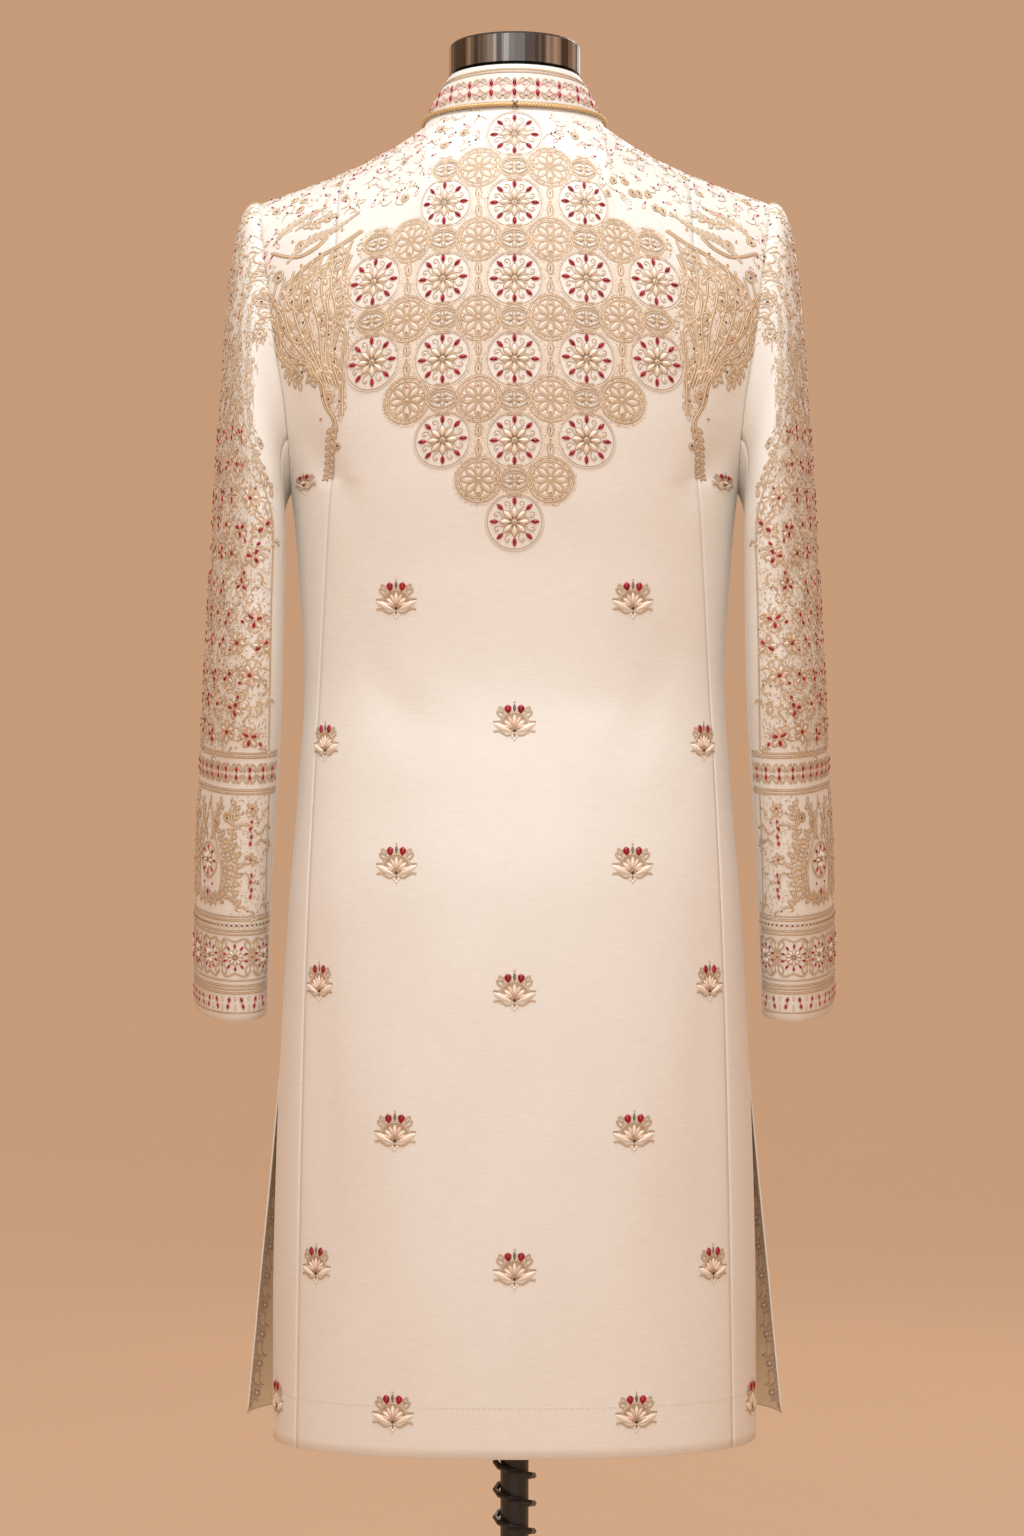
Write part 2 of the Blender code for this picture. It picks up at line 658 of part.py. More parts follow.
def make_stand(black):
    pole_bottom = BASE_HUB_HEIGHT + TOUCH_GAP
    pole_top = FORM_BOTTOM_Z - TOUCH_GAP
    turned("pole", [
        (0.0, pole_bottom), (POLE_RADIUS, pole_bottom), (POLE_RADIUS, pole_top), (0.0, pole_top),
    ], 20, black)

    turns = np.arange(SPRING_TURNS * SPRING_STEPS + 1) / SPRING_STEPS
    spring = np.stack([
        SPRING_RADIUS * np.cos(2 * pi * turns),
        SPRING_RADIUS * np.sin(2 * pi * turns),
        SPRING_TOP_Z - SPRING_PITCH * turns,
    ], axis=-1)
    tube("spring", spring, SPRING_WIRE_RADIUS, 6, black)

    clamp_bottom = SPRING_TOP_Z + SPRING_WIRE_RADIUS + 0.001
    inner = POLE_RADIUS + TOUCH_GAP
    ring = [
        (inner, clamp_bottom), (CLAMP_RADIUS, clamp_bottom), (CLAMP_RADIUS, clamp_bottom + CLAMP_HEIGHT),
        (inner, clamp_bottom + CLAMP_HEIGHT), (inner, clamp_bottom),
    ]
    ring_object("height_clamp", ring, 24, black)
    seat_top = SPRING_TOP_Z - SPRING_PITCH * SPRING_TURNS - SPRING_WIRE_RADIUS - 0.001
    seat = [
        (inner, seat_top - 0.014), (CLAMP_RADIUS, seat_top - 0.014), (CLAMP_RADIUS, seat_top),
        (inner, seat_top), (inner, seat_top - 0.014),
    ]
    ring_object("spring_seat", seat, 24, black)

    lever_start = CLAMP_RADIUS + TOUCH_GAP
    lever_z = clamp_bottom + 0.007
    lever = [
        (lever_start + LEVER_LENGTH * k / 4, 0.0, lever_z - LEVER_DROP * max(k - 1, 0) ** 2)
        for k in range(5)
    ]
    tube("clamp_lever", lever, 0.0038, 8, black)

    turned("base", [
        (0.0, 0.0), (BASE_RADIUS - 0.004, 0.0), (BASE_RADIUS, 0.004), (BASE_RADIUS, BASE_EDGE_HEIGHT),
        (BASE_RADIUS - 0.006, BASE_EDGE_HEIGHT + 0.003), (0.120, 0.018), (0.060, 0.024),
        (BASE_HUB_RADIUS + 0.004, 0.030), (BASE_HUB_RADIUS, BASE_HUB_HEIGHT - 0.004),
        (BASE_HUB_RADIUS - 0.004, BASE_HUB_HEIGHT), (0.0, BASE_HUB_HEIGHT),
    ], 48, black)


def ring_object(name, outline, segments, finish):
    """A turned ring with a hole, from an outline that ends where it starts."""
    points = []
    faces = []
    corners = len(outline) - 1
    for i in range(segments):
        angle = 2 * pi * i / segments
        points += [(r * cos(angle), r * sin(angle), z) for r, z in outline[:-1]]
    for i in range(segments):
        j = (i + 1) % segments
        for k in range(corners):
            m = (k + 1) % corners
            faces.append([i * corners + k, j * corners + k, j * corners + m, i * corners + m])
    return add_object(name, mesh_from(name, points, faces), finish)


def main():
    for old in list(bpy.data.objects):
        bpy.data.objects.remove(old)
    cloth = material("coat_cloth", (0.80, 0.69, 0.58), 0.72)
    gold = material("gold_cord", (0.78, 0.55, 0.28), 0.45, 0.4)
    black = material("black_paint", (0.02, 0.02, 0.02), 0.35)
    form = material("form_cover", (0.035, 0.033, 0.032), 0.80)
    steel = material("brushed_steel", (0.62, 0.61, 0.60), 0.28, 1.0)
    make_back(cloth)
    make_fronts(cloth)
    make_sleeves(cloth)
    make_collar(cloth, gold)
    make_buttons(gold)
    make_form(form, steel)
    make_stand(black)


main()
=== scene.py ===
"""Looks of the sherwani coat on its dress form: cloth shells, embroidery, finishes, light and camera."""

from math import cos, hypot, pi, radians, sin, tan

import bpy
import numpy as np
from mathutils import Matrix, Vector


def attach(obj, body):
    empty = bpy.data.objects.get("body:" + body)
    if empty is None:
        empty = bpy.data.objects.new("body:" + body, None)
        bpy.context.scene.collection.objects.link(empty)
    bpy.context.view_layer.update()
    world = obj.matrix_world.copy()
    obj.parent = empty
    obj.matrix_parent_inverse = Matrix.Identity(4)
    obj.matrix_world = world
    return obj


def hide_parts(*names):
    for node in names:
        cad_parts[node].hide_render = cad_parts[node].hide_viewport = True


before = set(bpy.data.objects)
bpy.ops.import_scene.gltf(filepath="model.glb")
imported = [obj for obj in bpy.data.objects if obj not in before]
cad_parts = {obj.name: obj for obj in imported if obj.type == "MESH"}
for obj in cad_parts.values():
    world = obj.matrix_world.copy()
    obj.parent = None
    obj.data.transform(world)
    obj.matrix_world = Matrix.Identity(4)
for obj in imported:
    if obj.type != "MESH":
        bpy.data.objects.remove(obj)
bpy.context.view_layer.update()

# ---------------------------------------------------------------- sizes of the coat's surface
CLOTH = 0.0015               # wall of the body and sleeves
COLLAR_CLOTH = 0.0021
SEAM_GAP = 0.0001
BACK_HEM_Z = 0.425
FRONT_HEM_Z = 0.441
SLIT_TOP_Z = 0.753
UNDERARM_Z = 1.195
ARMHOLE_MID_Z = 1.300
ARMHOLE_MID_X = 0.192
NECK_HALF_WIDTH = 0.073
NECK_BACK_Y = 0.062
NECK_FRONT_Y = -0.076
NECK_BACK_Z = 1.500
NECK_FRONT_DROP = 0.064
NECK_SHARE = 0.40
SHOULDER_END = (0.2095, 1.432)
SLIT_FLARE = 0.022
SLIT_FLARE_DEPTH = 0.31
SLIT_FLARE_POWER = 1.4
# z, half_width, back_depth, front_depth, back_squareness, front_squareness
BODY_SECTIONS = np.array([
    (0.425, 0.1965, 0.125, 0.120, 2.40, 2.00),
    (0.530, 0.1965, 0.125, 0.120, 2.40, 2.05),
    (0.640, 0.1945, 0.124, 0.119, 2.40, 2.10),
    (0.753, 0.1900, 0.122, 0.117, 2.40, 2.20),
    (0.860, 0.1840, 0.117, 0.113, 2.40, 2.25),
    (0.950, 0.1770, 0.104, 0.108, 2.40, 2.30),
    (1.035, 0.1720, 0.093, 0.104, 2.40, 2.30),
    (1.120, 0.1765, 0.099, 0.112, 2.40, 2.30),
    (1.195, 0.1835, 0.109, 0.120, 2.40, 2.30),
    (1.250, 0.2000, 0.1135, 0.1225, 2.40, 2.30),
    (1.300, 0.2150, 0.1145, 0.1215, 2.40, 2.30),
    (1.350, 0.2200, 0.1120, 0.1160, 2.40, 2.30),
])
# z, x
SIDE_BACK_SEAM = np.array([
    (0.425, 0.1740),
    (0.753, 0.1690),
    (0.950, 0.1620),
    (1.035, 0.1575),
    (1.195, 0.1480),
    (1.300, 0.1410),
])
FRONT_OVERLAP = 0.014
FRONT_UNDERLAP = 0.022
UNDERLAP_STEP = 0.0029
# z, outer_x, inner_x, centre_y, half_depth
SLEEVE_SECTIONS = np.array([
    (1.150, 0.2515, 0.1872, 0.000, 0.078),
    (1.060, 0.2560, 0.1888, -0.003, 0.075),
    (0.980, 0.2600, 0.1925, -0.012, 0.070),
    (0.900, 0.2642, 0.1985, -0.024, 0.066),
    (0.820, 0.2664, 0.2025, -0.036, 0.062),
    (0.769, 0.2670, 0.2045, -0.044, 0.060),
])
SLEEVE_TURN = radians(13)
SLEEVE_PITCH = radians(8)
SLEEVE_SQUARENESS = 2.2
SLEEVE_LIFT = -0.0007        # the seam allowance goes in under the body
BACK_SLEEVE_SEAM = 0.45
FRONT_SLEEVE_SEAM = 0.50
COLLAR_HEIGHT = 0.036
COLLAR_TOP_HALF_WIDTH = 0.0555
COLLAR_TOP_BACK_Y = 0.0565
COLLAR_TOP_FRONT_Y = -0.0675
COLLAR_LIFT = 0.0004
COLLAR_BULGE = 0.0016
COLLAR_END_GAP = radians(2.2)
PIPING_RADIUS = 0.0017

# How finely the cloth is drawn.
BODY_ROWS = (88, 14, 40)
BODY_COLUMNS = 66            # in a whole quarter
SLEEVE_ROWS = (32, 64)
SLEEVE_COLUMNS = 18          # in a quarter of the loop
BACK_CENTRE_COLUMNS = 78
BACK_SIDE_COLUMNS = 24
FRONT_LEFT_COLUMNS = 62
FRONT_RIGHT_COLUMNS = 64
COLLAR_ROWS = 12
COLLAR_COLUMNS = 180
RING_SAMPLES = 500


# ---------------------------------------------------------------- small tools
def unit(vectors):
    return vectors / np.maximum(np.linalg.norm(vectors, axis=-1, keepdims=True), 1e-12)


def hermite(start, start_tangent, end, end_tangent, t):
    """The cubic from start to end with the given end tangents, at t from 0 to 1."""
    return (
        (2 * t**3 - 3 * t**2 + 1) * start
        + (t**3 - 2 * t**2 + t) * start_tangent
        + (3 * t**2 - 2 * t**3) * end
        + (t**3 - t**2) * end_tangent
    )


def smooth_table(z, table, column):
    """A column of a table at height z, by a monotone cubic through its rows."""
    zs = table[:, 0]
    values = table[:, column]
    order = np.argsort(zs)
    zs = zs[order]
    values = values[order]
    step = np.diff(zs)
    slope = np.diff(values) / step
    tangent = np.zeros(len(zs))
    tangent[0] = slope[0]
    tangent[-1] = slope[-1]
    for i in range(1, len(zs) - 1):
        if slope[i - 1] * slope[i] > 0:
            tangent[i] = 2.0 / (1.0 / slope[i - 1] + 1.0 / slope[i])
    i = int(np.clip(np.searchsorted(zs, z) - 1, 0, len(zs) - 2))
    t = (z - zs[i]) / step[i]
    return hermite(values[i], tangent[i] * step[i], values[i + 1], tangent[i + 1] * step[i], t)


def quarter_curve(half_width, depth, squareness, share):
    """Points (x, y) on a quarter superellipse, from its middle (0) to its side (1) by length."""
    angle = np.linspace(pi / 2, 0, RING_SAMPLES)
    x = half_width * np.abs(np.cos(angle)) ** (2 / squareness)
    y = depth * np.abs(np.sin(angle)) ** (2 / squareness)
    x[0] = 0.0
    y[-1] = 0.0
    length = np.concatenate([[0], np.cumsum(np.hypot(np.diff(x), np.diff(y)))])
    wanted = np.abs(share) * length[-1]
    return np.sign(share) * np.interp(wanted, length, x), np.interp(wanted, length, y)


def smooth_step(value):
    value = np.clip(value, 0, 1)
    return value**2 * (3 - 2 * value)


# ---------------------------------------------------------------- the coat's body surface
def section(side, z, share):
    """Points on the level section at height z. side is 1 for the back and -1 for the front."""
    half_width = smooth_table(z, BODY_SECTIONS, 1)
    if side < 0 and z < SLIT_TOP_Z:
        half_width += SLIT_FLARE * ((SLIT_TOP_Z - z) / SLIT_FLARE_DEPTH) ** SLIT_FLARE_POWER
    depth = smooth_table(z, BODY_SECTIONS, 2 if side > 0 else 3)
    squareness = smooth_table(z, BODY_SECTIONS, 4 if side > 0 else 5)
    x, y = quarter_curve(half_width, depth, squareness, share)
    return np.stack([x, side * y, np.full_like(x, z)], axis=-1)


def find_armhole_share(side):
    """Share of the quarter at which the armhole's middle lies."""
    shares = np.linspace(0, 1, 400)
    return float(np.interp(ARMHOLE_MID_X, section(side, ARMHOLE_MID_Z, shares)[:, 0], shares))


ARMHOLE_SHARE = {side: find_armhole_share(side) for side in (1, -1)}


def neckline(side, share):
    """The neckline from the centre line (share 0) to the side of the neck (share 1)."""
    angle = pi / 2 * (1 - share)
    x = NECK_HALF_WIDTH * np.cos(angle)
    y = np.sin(angle) * (NECK_BACK_Y if side > 0 else NECK_FRONT_Y)
    toward_front = (1 - side * np.sin(angle)) / 2
    return np.stack([x, y, NECK_BACK_Z - NECK_FRONT_DROP * toward_front**4], axis=-1)


def top_edge(side, u):
    """The neckline and then the shoulder seam, for u from 0 to 1."""
    side_sign = np.where(u < 0, -1.0, 1.0)
    u = np.abs(u)
    neck = neckline(side, np.minimum(u / NECK_SHARE, 1.0))
    along = np.clip((u - NECK_SHARE) / (1 - NECK_SHARE), 0, 1)
    start = neckline(side, np.array([1.0]))[0]
    drop = start[2] - SHOULDER_END[1]
    shoulder = np.stack([
        start[0] + along * (SHOULDER_END[0] - start[0]),
        np.zeros_like(along),
        start[2] - drop * (0.30 * (1 - (1 - along) ** 3) + 0.70 * along),
    ], axis=-1)
    edge = np.where((u < NECK_SHARE)[:, None], neck, shoulder)
    edge[:, 0] *= side_sign
    return edge


def upper_body(side, u, t):
    """The body above the armhole's middle: cubics from the last section to the top edge."""
    share = u * ARMHOLE_SHARE[side]
    start = section(side, ARMHOLE_MID_Z, share)
    step = 0.004
    rise = (start - section(side, ARMHOLE_MID_Z - step, share)) / step
    end = top_edge(side, u)
    reach = np.linalg.norm(end - start, axis=-1, keepdims=True)
    to_shoulder = np.clip(np.abs(u) / NECK_SHARE, 0, 1)[:, None] ** 2
    at_neck = unit(np.array([0.0, -side * 0.50, 0.87]))
    at_shoulder = unit(np.array([0.0, -side * 1.0, 0.06]))
    arrive = unit(at_neck * (1 - to_shoulder) + at_shoulder * to_shoulder)
    return hermite(start, rise * reach * 1.05, end, arrive * reach * 1.10, t)


def row_cut(side, v, hem_z):
    """The height of row v below the armhole's middle, and its armhole's share of the quarter."""
    if v <= 1:
        return hem_z + (UNDERARM_Z - hem_z) * v, 1.0
    turn = (min(v, 2.0) - 1) * pi / 2
    z = ARMHOLE_MID_Z - (ARMHOLE_MID_Z - UNDERARM_Z) * cos(turn)
    return z, 1 - (1 - ARMHOLE_SHARE[side]) * sin(turn)


def body_row(side, v, u, hem_z):
    """A row of points on the back or front at v from 0 to 3, and the outward normals."""
    if v <= 2:
        z, cut = row_cut(side, v, hem_z)
        share = u * cut
        step = 0.004
        points = section(side, z, share)
        inner_share = np.clip(share, -1 + step, 1 - step)
        along = section(side, z, inner_share + step) - section(side, z, inner_share - step)
        up = section(side, z + step, share) - section(side, max(z - step, hem_z), share)
    else:
        step = 0.01
        t = v - 2
        points = upper_body(side, u, t)
        inside = np.clip(u, -1 + step, 1 - step)
        along = upper_body(side, inside + step, t) - upper_body(side, inside - step, t)
        up = upper_body(side, u, min(t + step, 1)) - upper_body(side, u, max(t - step, 0))
    return points, side * unit(np.cross(up, along))


def side_back_seam(v):
    """The u of the side-back seam at row v."""
    z, cut = row_cut(1, v, BACK_HEM_Z)
    shares = np.linspace(0, 1, 200)
    xs = section(1, z, shares)[:, 0]
    return float(np.interp(smooth_table(z, SIDE_BACK_SEAM, 1), xs, shares)) / cut


def body_levels():
    low, middle, high = BODY_ROWS
    return np.concatenate([
        np.linspace(0, 1, low + 1),
        np.linspace(1, 2, middle + 1)[1:],
        np.linspace(2, 3, high + 1)[1:],
    ])


# ---------------------------------------------------------------- the sleeve surface
def armhole(columns):
    """The armhole's loop of points from the shoulder round by the back, in four quarters."""
    edge = np.array([1.0])
    shares = np.linspace(0, 1, columns + 1)[:-1]
    loop = []
    for side, upper, downward in ((1, True, True), (1, False, True), (-1, False, False), (-1, True, False)):
        for share in shares:
            fall = share if downward else 1 - share
            v = 3 - fall if upper else 2 - fall
            hem_z = BACK_HEM_Z if side > 0 else FRONT_HEM_Z
            loop.append(body_row(side, v, edge, hem_z)[0][0])
    return np.array(loop)


def sleeve_section(z, columns):
    """A loop of the sleeve at height z, in the same order as the armhole's."""
    outer, inner, centre_y, half_depth = (smooth_table(z, SLEEVE_SECTIONS, i) for i in range(1, 5))
    half_width = (outer - inner) / 2
    flat_half = np.sqrt(half_width**2 - (half_depth * sin(SLEEVE_TURN)) ** 2) / cos(SLEEVE_TURN)
    shares = np.linspace(0, 1, columns + 1)[:-1]
    depth, width = quarter_curve(half_depth, flat_half, SLEEVE_SQUARENESS, shares)
    back_depth, back_width = quarter_curve(half_depth, flat_half, SLEEVE_SQUARENESS, 1 - shares)
    across = np.concatenate([width, -back_width, -width, back_width])
    along = np.concatenate([depth, back_depth, -depth, -back_depth])
    x = across * cos(SLEEVE_TURN) - along * sin(SLEEVE_TURN)
    y = across * sin(SLEEVE_TURN) + along * cos(SLEEVE_TURN)
    top = SLEEVE_SECTIONS[0, 0]
    bottom = SLEEVE_SECTIONS[-1, 0]
    pitch = SLEEVE_PITCH * (top - z) / (top - bottom)
    return np.stack([(outer + inner) / 2 + x, centre_y + y, z - y * tan(pitch)], axis=-1)


def sleeve_grid(columns, head_rows, arm_rows):
    """Rows of loops from the armhole to the cuff, on the wearer's left."""
    loop = armhole(columns)
    angle = np.linspace(0, 2 * pi, 4 * columns, endpoint=False)
    top = np.clip(np.cos(angle), 0, 1)[:, None]
    low = np.clip(-np.cos(angle), 0, 1)[:, None]
    middle = 1 - top - low
    back = np.sin(angle)[:, None]
    first_z = SLEEVE_SECTIONS[0, 0]
    ring = sleeve_section(first_z, columns)
    outward = top * np.array([0.090, 0.0, 0.050]) + low * np.array([0.012, 0.0, -0.020])
    outward = outward + middle * np.array([0.070, 0.0, -0.050]) + back * np.array([0.0, 0.020, 0.0])
    start = loop + np.array([SLEEVE_LIFT, 0.0, 0.0]) + low * np.array([0.0, 0.0, -SLEEVE_LIFT])
    fall = (loop[:, 2] - first_z)[:, None]
    down = (ring - sleeve_section(first_z - 0.01, columns)) / 0.01
    rows = [
        hermite(start, outward, ring, -down * fall * 1.4, t)
        for t in np.linspace(0, 1, head_rows + 1)
    ]
    for z in np.linspace(first_z, SLEEVE_SECTIONS[-1, 0], arm_rows + 1)[1:]:
        rows.append(sleeve_section(z, columns))
    return np.array(rows)


def pick_columns(grid, places):
    """Columns of a closed grid at fractional places."""
    loop = grid.shape[1]
    low = np.floor(places).astype(int)
    share = (places - low)[None, :, None]
    return grid[:, low % loop] * (1 - share) + grid[:, (low + 1) % loop] * share


def neck_loop(angle, lift):
    """The neckline by angle from the wearer's left, a quarter turn being the back."""
    back = np.sin(angle)
    y = np.where(back > 0, NECK_BACK_Y, -NECK_FRONT_Y) * back
    z = NECK_BACK_Z - NECK_FRONT_DROP * ((1 - back) / 2) ** 4 + lift
    return np.stack([NECK_HALF_WIDTH * np.cos(angle), y, z], axis=-1)


# ---------------------------------------------------------------- flat coordinates and creases
def lengths(points, axis):
    """Running length along one axis of a grid."""
    step = np.linalg.norm(np.diff(points, axis=axis), axis=-1)
    shape = list(step.shape)
    shape[axis] = 1
    return np.concatenate([np.zeros(shape), np.cumsum(step, axis=axis)], axis=axis)


class Sheet:
    """A cloth surface as a grid, with each point's place on the flat cloth, in metres.

    across runs over the columns and along over the rows. Creases move the grid along its
    normals, and the normals lean with them.
    """

    def __init__(self, points, normals, across, along, creases=()):
        self.across = across
        self.along = along
        self.base = points
        rise = crease_height(creases, across, along)
        step = 0.0008
        slope_across = (crease_height(creases, across + step, along) - rise) / step
        slope_along = (crease_height(creases, across, along + step) - rise) / step
        side = unit(np.gradient(points, axis=1)) * np.sign(across[0, -1] - across[0, 0])
        length = unit(np.gradient(points, axis=0)) * np.sign(along[-1, 0] - along[0, 0])
        self.points = points + normals * rise[..., None]
        self.normals = unit(normals - side * slope_across[..., None] - length * slope_along[..., None])

    def mirrored(self):
        flip = np.array([-1.0, 1.0, 1.0])
        other = Sheet.__new__(Sheet)
        other.across = self.across
        other.along = self.along
        other.points = self.points * flip
        other.normals = self.normals * flip
        return other

    def lining(self, thickness):
        """The inner face of the cloth."""
        other = Sheet.__new__(Sheet)
        other.across = self.across
        other.along = self.along
        other.points = self.points - self.normals * thickness
        other.normals = -self.normals
        return other

    def place(self, flat):
        """Points and normals on the cloth at flat (across, along) places, and which are on it."""
        rows, columns = self.across.shape
        middle = columns // 2
        order = np.argsort(self.along[:, middle])
        row = np.interp(flat[:, 1], self.along[order, middle], order.astype(float))
        order = np.argsort(self.across[rows // 2])
        column = np.interp(flat[:, 0], self.across[rows // 2, order], order.astype(float))
        row_slope = [np.gradient(self.across, axis=0), np.gradient(self.along, axis=0)]
        column_slope = [np.gradient(self.across, axis=1), np.gradient(self.along, axis=1)]
        for _ in range(14):
            here = [sample(grid, row, column) for grid in (self.across, self.along)]
            a, c = (sample(grid, row, column) for grid in row_slope)
            b, d = (sample(grid, row, column) for grid in column_slope)
            miss_across = flat[:, 0] - here[0]
            miss_along = flat[:, 1] - here[1]
            det = a * d - b * c
            det = np.where(np.abs(det) < 1e-14, 1e-14, det)
            row = np.clip(row + np.clip((miss_across * d - b * miss_along) / det, -9, 9), 0, rows - 1)
            column = np.clip(
                column + np.clip((a * miss_along - c * miss_across) / det, -9, 9), 0, columns - 1)
        here = [sample(grid, row, column) for grid in (self.across, self.along)]
        miss = np.hypot(flat[:, 0] - here[0], flat[:, 1] - here[1])
        points = np.stack([sample(self.points[..., i], row, column) for i in range(3)], axis=-1)
        normals = np.stack([sample(self.normals[..., i], row, column) for i in range(3)], axis=-1)
        return points, unit(normals), miss < 0.0008


def sample(grid, row, column):
    """A grid's value at fractional rows and columns."""
    r = np.clip(np.floor(row).astype(int), 0, grid.shape[0] - 2)
    c = np.clip(np.floor(column).astype(int), 0, grid.shape[1] - 2)
    s = row - r
    t = column - c
    return (
        grid[r, c] * (1 - s) * (1 - t) + grid[r, c + 1] * (1 - s) * t
        + grid[r + 1, c] * s * (1 - t) + grid[r + 1, c + 1] * s * t
    )


def crease_height(creases, across, along):
    """Height of all the creases at places on the flat cloth.

    Each crease is a soft trough (depth below 0) or ridge along a line from one flat place
    to another, fading at both ends.
    """
    height = np.zeros_like(across)
    for start_across, start_along, end_across, end_along, width, depth in creases:
        run = hypot(end_across - start_across, end_along - start_along)
        direction = ((end_across - start_across) / run, (end_along - start_along) / run)
        a = across - start_across
        b = along - start_along
        on_line = (a * direction[0] + b * direction[1]) / run
        away = a * direction[1] - b * direction[0]
        fade = np.sin(np.clip(on_line, 0, 1) * pi) ** 2
        height += depth * fade * np.exp(-((away / width) ** 2))
    return height


# ---------------------------------------------------------------- node materials
def new_material(name, colour, roughness, metallic=0.0, sheen=0.0, specular=0.5):
    made = bpy.data.materials.new(name)
    made.use_nodes = True
    shader = made.node_tree.nodes["Principled BSDF"]
    shader.inputs["Base Color"].default_value = (*colour, 1.0)
    shader.inputs["Roughness"].default_value = roughness
    shader.inputs["Metallic"].default_value = metallic
    shader.inputs["Sheen Weight"].default_value = sheen
    shader.inputs["Sheen Roughness"].default_value = 0.5
    shader.inputs["Specular IOR Level"].default_value = specular
    return made, made.node_tree, shader


def node(tree, kind, **values):
    made = tree.nodes.new(kind)
    for key, value in values.items():
        if key in made.inputs:
            made.inputs[key].default_value = value
        else:
            setattr(made, key, value)
    return made


def mapped(tree, source, scale, turn=(0.0, 0.0, 0.0)):
    """The UV or Object coordinates, scaled."""
    coordinates = node(tree, "ShaderNodeTexCoord")
    mapping = node(tree, "ShaderNodeMapping", Scale=scale, Rotation=turn)
    tree.links.new(coordinates.outputs[source], mapping.inputs["Vector"])
    return mapping.outputs["Vector"]


def noise(tree, vector, scale, detail=3.0, roughness=0.55):
    made = node(tree, "ShaderNodeTexNoise", Scale=scale, Detail=detail, Roughness=roughness)
    tree.links.new(vector, made.inputs["Vector"])
    return made.outputs["Fac"]


def blend_colours(tree, factor, first, second):
    made = node(tree, "ShaderNodeMix", data_type="RGBA")
    made.inputs["A"].default_value = (*first, 1.0)
    made.inputs["B"].default_value = (*second, 1.0)
    tree.links.new(factor, made.inputs["Factor"])
    return made.outputs["Result"]


def math(tree, operation, first, second):
    made = node(tree, "ShaderNodeMath", operation=operation)
    for socket, value in zip(made.inputs, (first, second)):
        if isinstance(value, (int, float)):
            socket.default_value = value
        else:
            tree.links.new(value, socket)
    return made.outputs[0]


def bump(tree, shader, height, strength, distance):
    made = node(tree, "ShaderNodeBump", Strength=strength, Distance=distance)
    tree.links.new(height, made.inputs["Height"])
    tree.links.new(made.outputs["Normal"], shader.inputs["Normal"])


def spread(tree, value, low, high):
    made = node(tree, "ShaderNodeMapRange")
    made.inputs["From Min"].default_value = low
    made.inputs["From Max"].default_value = high
    tree.links.new(value, made.inputs["Value"])
    return made.outputs["Result"]


def silk(name, light, dark):
    """Matte raw silk: fine weft slubs across, finer warp, soft unevenness, a faint sheen."""
    made, tree, shader = new_material(name, light, 0.62, sheen=0.25, specular=0.35)
    weft = noise(tree, mapped(tree, "UV", (55.0, 1300.0, 1.0)), 1.0, 4.0, 0.6)
    warp = noise(tree, mapped(tree, "UV", (1500.0, 90.0, 1.0)), 1.0, 3.0, 0.6)
    cloudy = noise(tree, mapped(tree, "UV", (9.0, 7.0, 1.0)), 1.0, 3.0, 0.5)
    thread = math(tree, "ADD", math(tree, "MULTIPLY", weft, 0.65), math(tree, "MULTIPLY", warp, 0.35))
    tone = math(tree, "ADD", math(tree, "MULTIPLY", thread, 0.75), math(tree, "MULTIPLY", cloudy, 0.25))
    colour = blend_colours(tree, spread(tree, tone, 0.38, 0.66), dark, light)
    tree.links.new(colour, shader.inputs["Base Color"])
    tree.links.new(spread(tree, thread, -0.6, 2.0), shader.inputs["Roughness"])
    bump(tree, shader, thread, 0.35, 0.0004)
    return made


def black_gloss():
    """Worn gloss paint on the stand's metal."""
    made, tree, shader = new_material("black_paint", (0.016, 0.015, 0.015), 0.28)
    wear = noise(tree, mapped(tree, "Object", (14.0, 14.0, 14.0)), 1.0, 5.0, 0.6)
    tree.links.new(spread(tree, wear, -0.5, 2.4), shader.inputs["Roughness"])
    orange_peel = noise(tree, mapped(tree, "Object", (420.0, 420.0, 420.0)), 1.0, 2.0)
    bump(tree, shader, orange_peel, 0.12, 0.0003)
    colour = blend_colours(tree, wear, (0.012, 0.011, 0.011), (0.030, 0.028, 0.027))
    tree.links.new(colour, shader.inputs["Base Color"])
    return made


def brushed_steel():
    """Steel with fine rings turned round it, and broad soft light bands up and down its upright sides painted
    into its colour as reflections.
    """
    made, tree, shader = new_material("brushed_steel", (0.40, 0.38, 0.36), 0.32, metallic=1.0)
    rings = noise(tree, mapped(tree, "Object", (3.0, 3.0, 2600.0)), 1.0, 3.0)
    reflection_streaks = noise(tree, mapped(tree, "Object", (62.0, 62.0, 0.6)), 1.0, 2.0, 0.7)
    tree.links.new(spread(tree, rings, -0.9, 2.6), shader.inputs["Roughness"])
    dark = blend_colours(tree, rings, (0.070, 0.062, 0.056), (0.145, 0.130, 0.118))
    # Painted reflection: a light colour in soft bands up and down the upright sides only, over the dark
    # steel.
    colour = node(tree, "ShaderNodeMix", data_type="RGBA")
    colour.inputs["B"].default_value = (0.70, 0.66, 0.62, 1.0)
    tree.links.new(dark, colour.inputs["A"])
    facing = node(tree, "ShaderNodeSeparateXYZ")
    tree.links.new(node(tree, "ShaderNodeNewGeometry").outputs["Normal"], facing.inputs[0])
    upright = math(tree, "LESS_THAN", facing.outputs["Z"], 0.6)
    painted_reflection = math(tree, "MULTIPLY", spread(tree, reflection_streaks, 0.50, 0.68), upright)
    tree.links.new(painted_reflection, colour.inputs["Factor"])
    tree.links.new(colour.outputs["Result"], shader.inputs["Base Color"])
    bump(tree, shader, rings, 0.10, 0.0002)
    return made


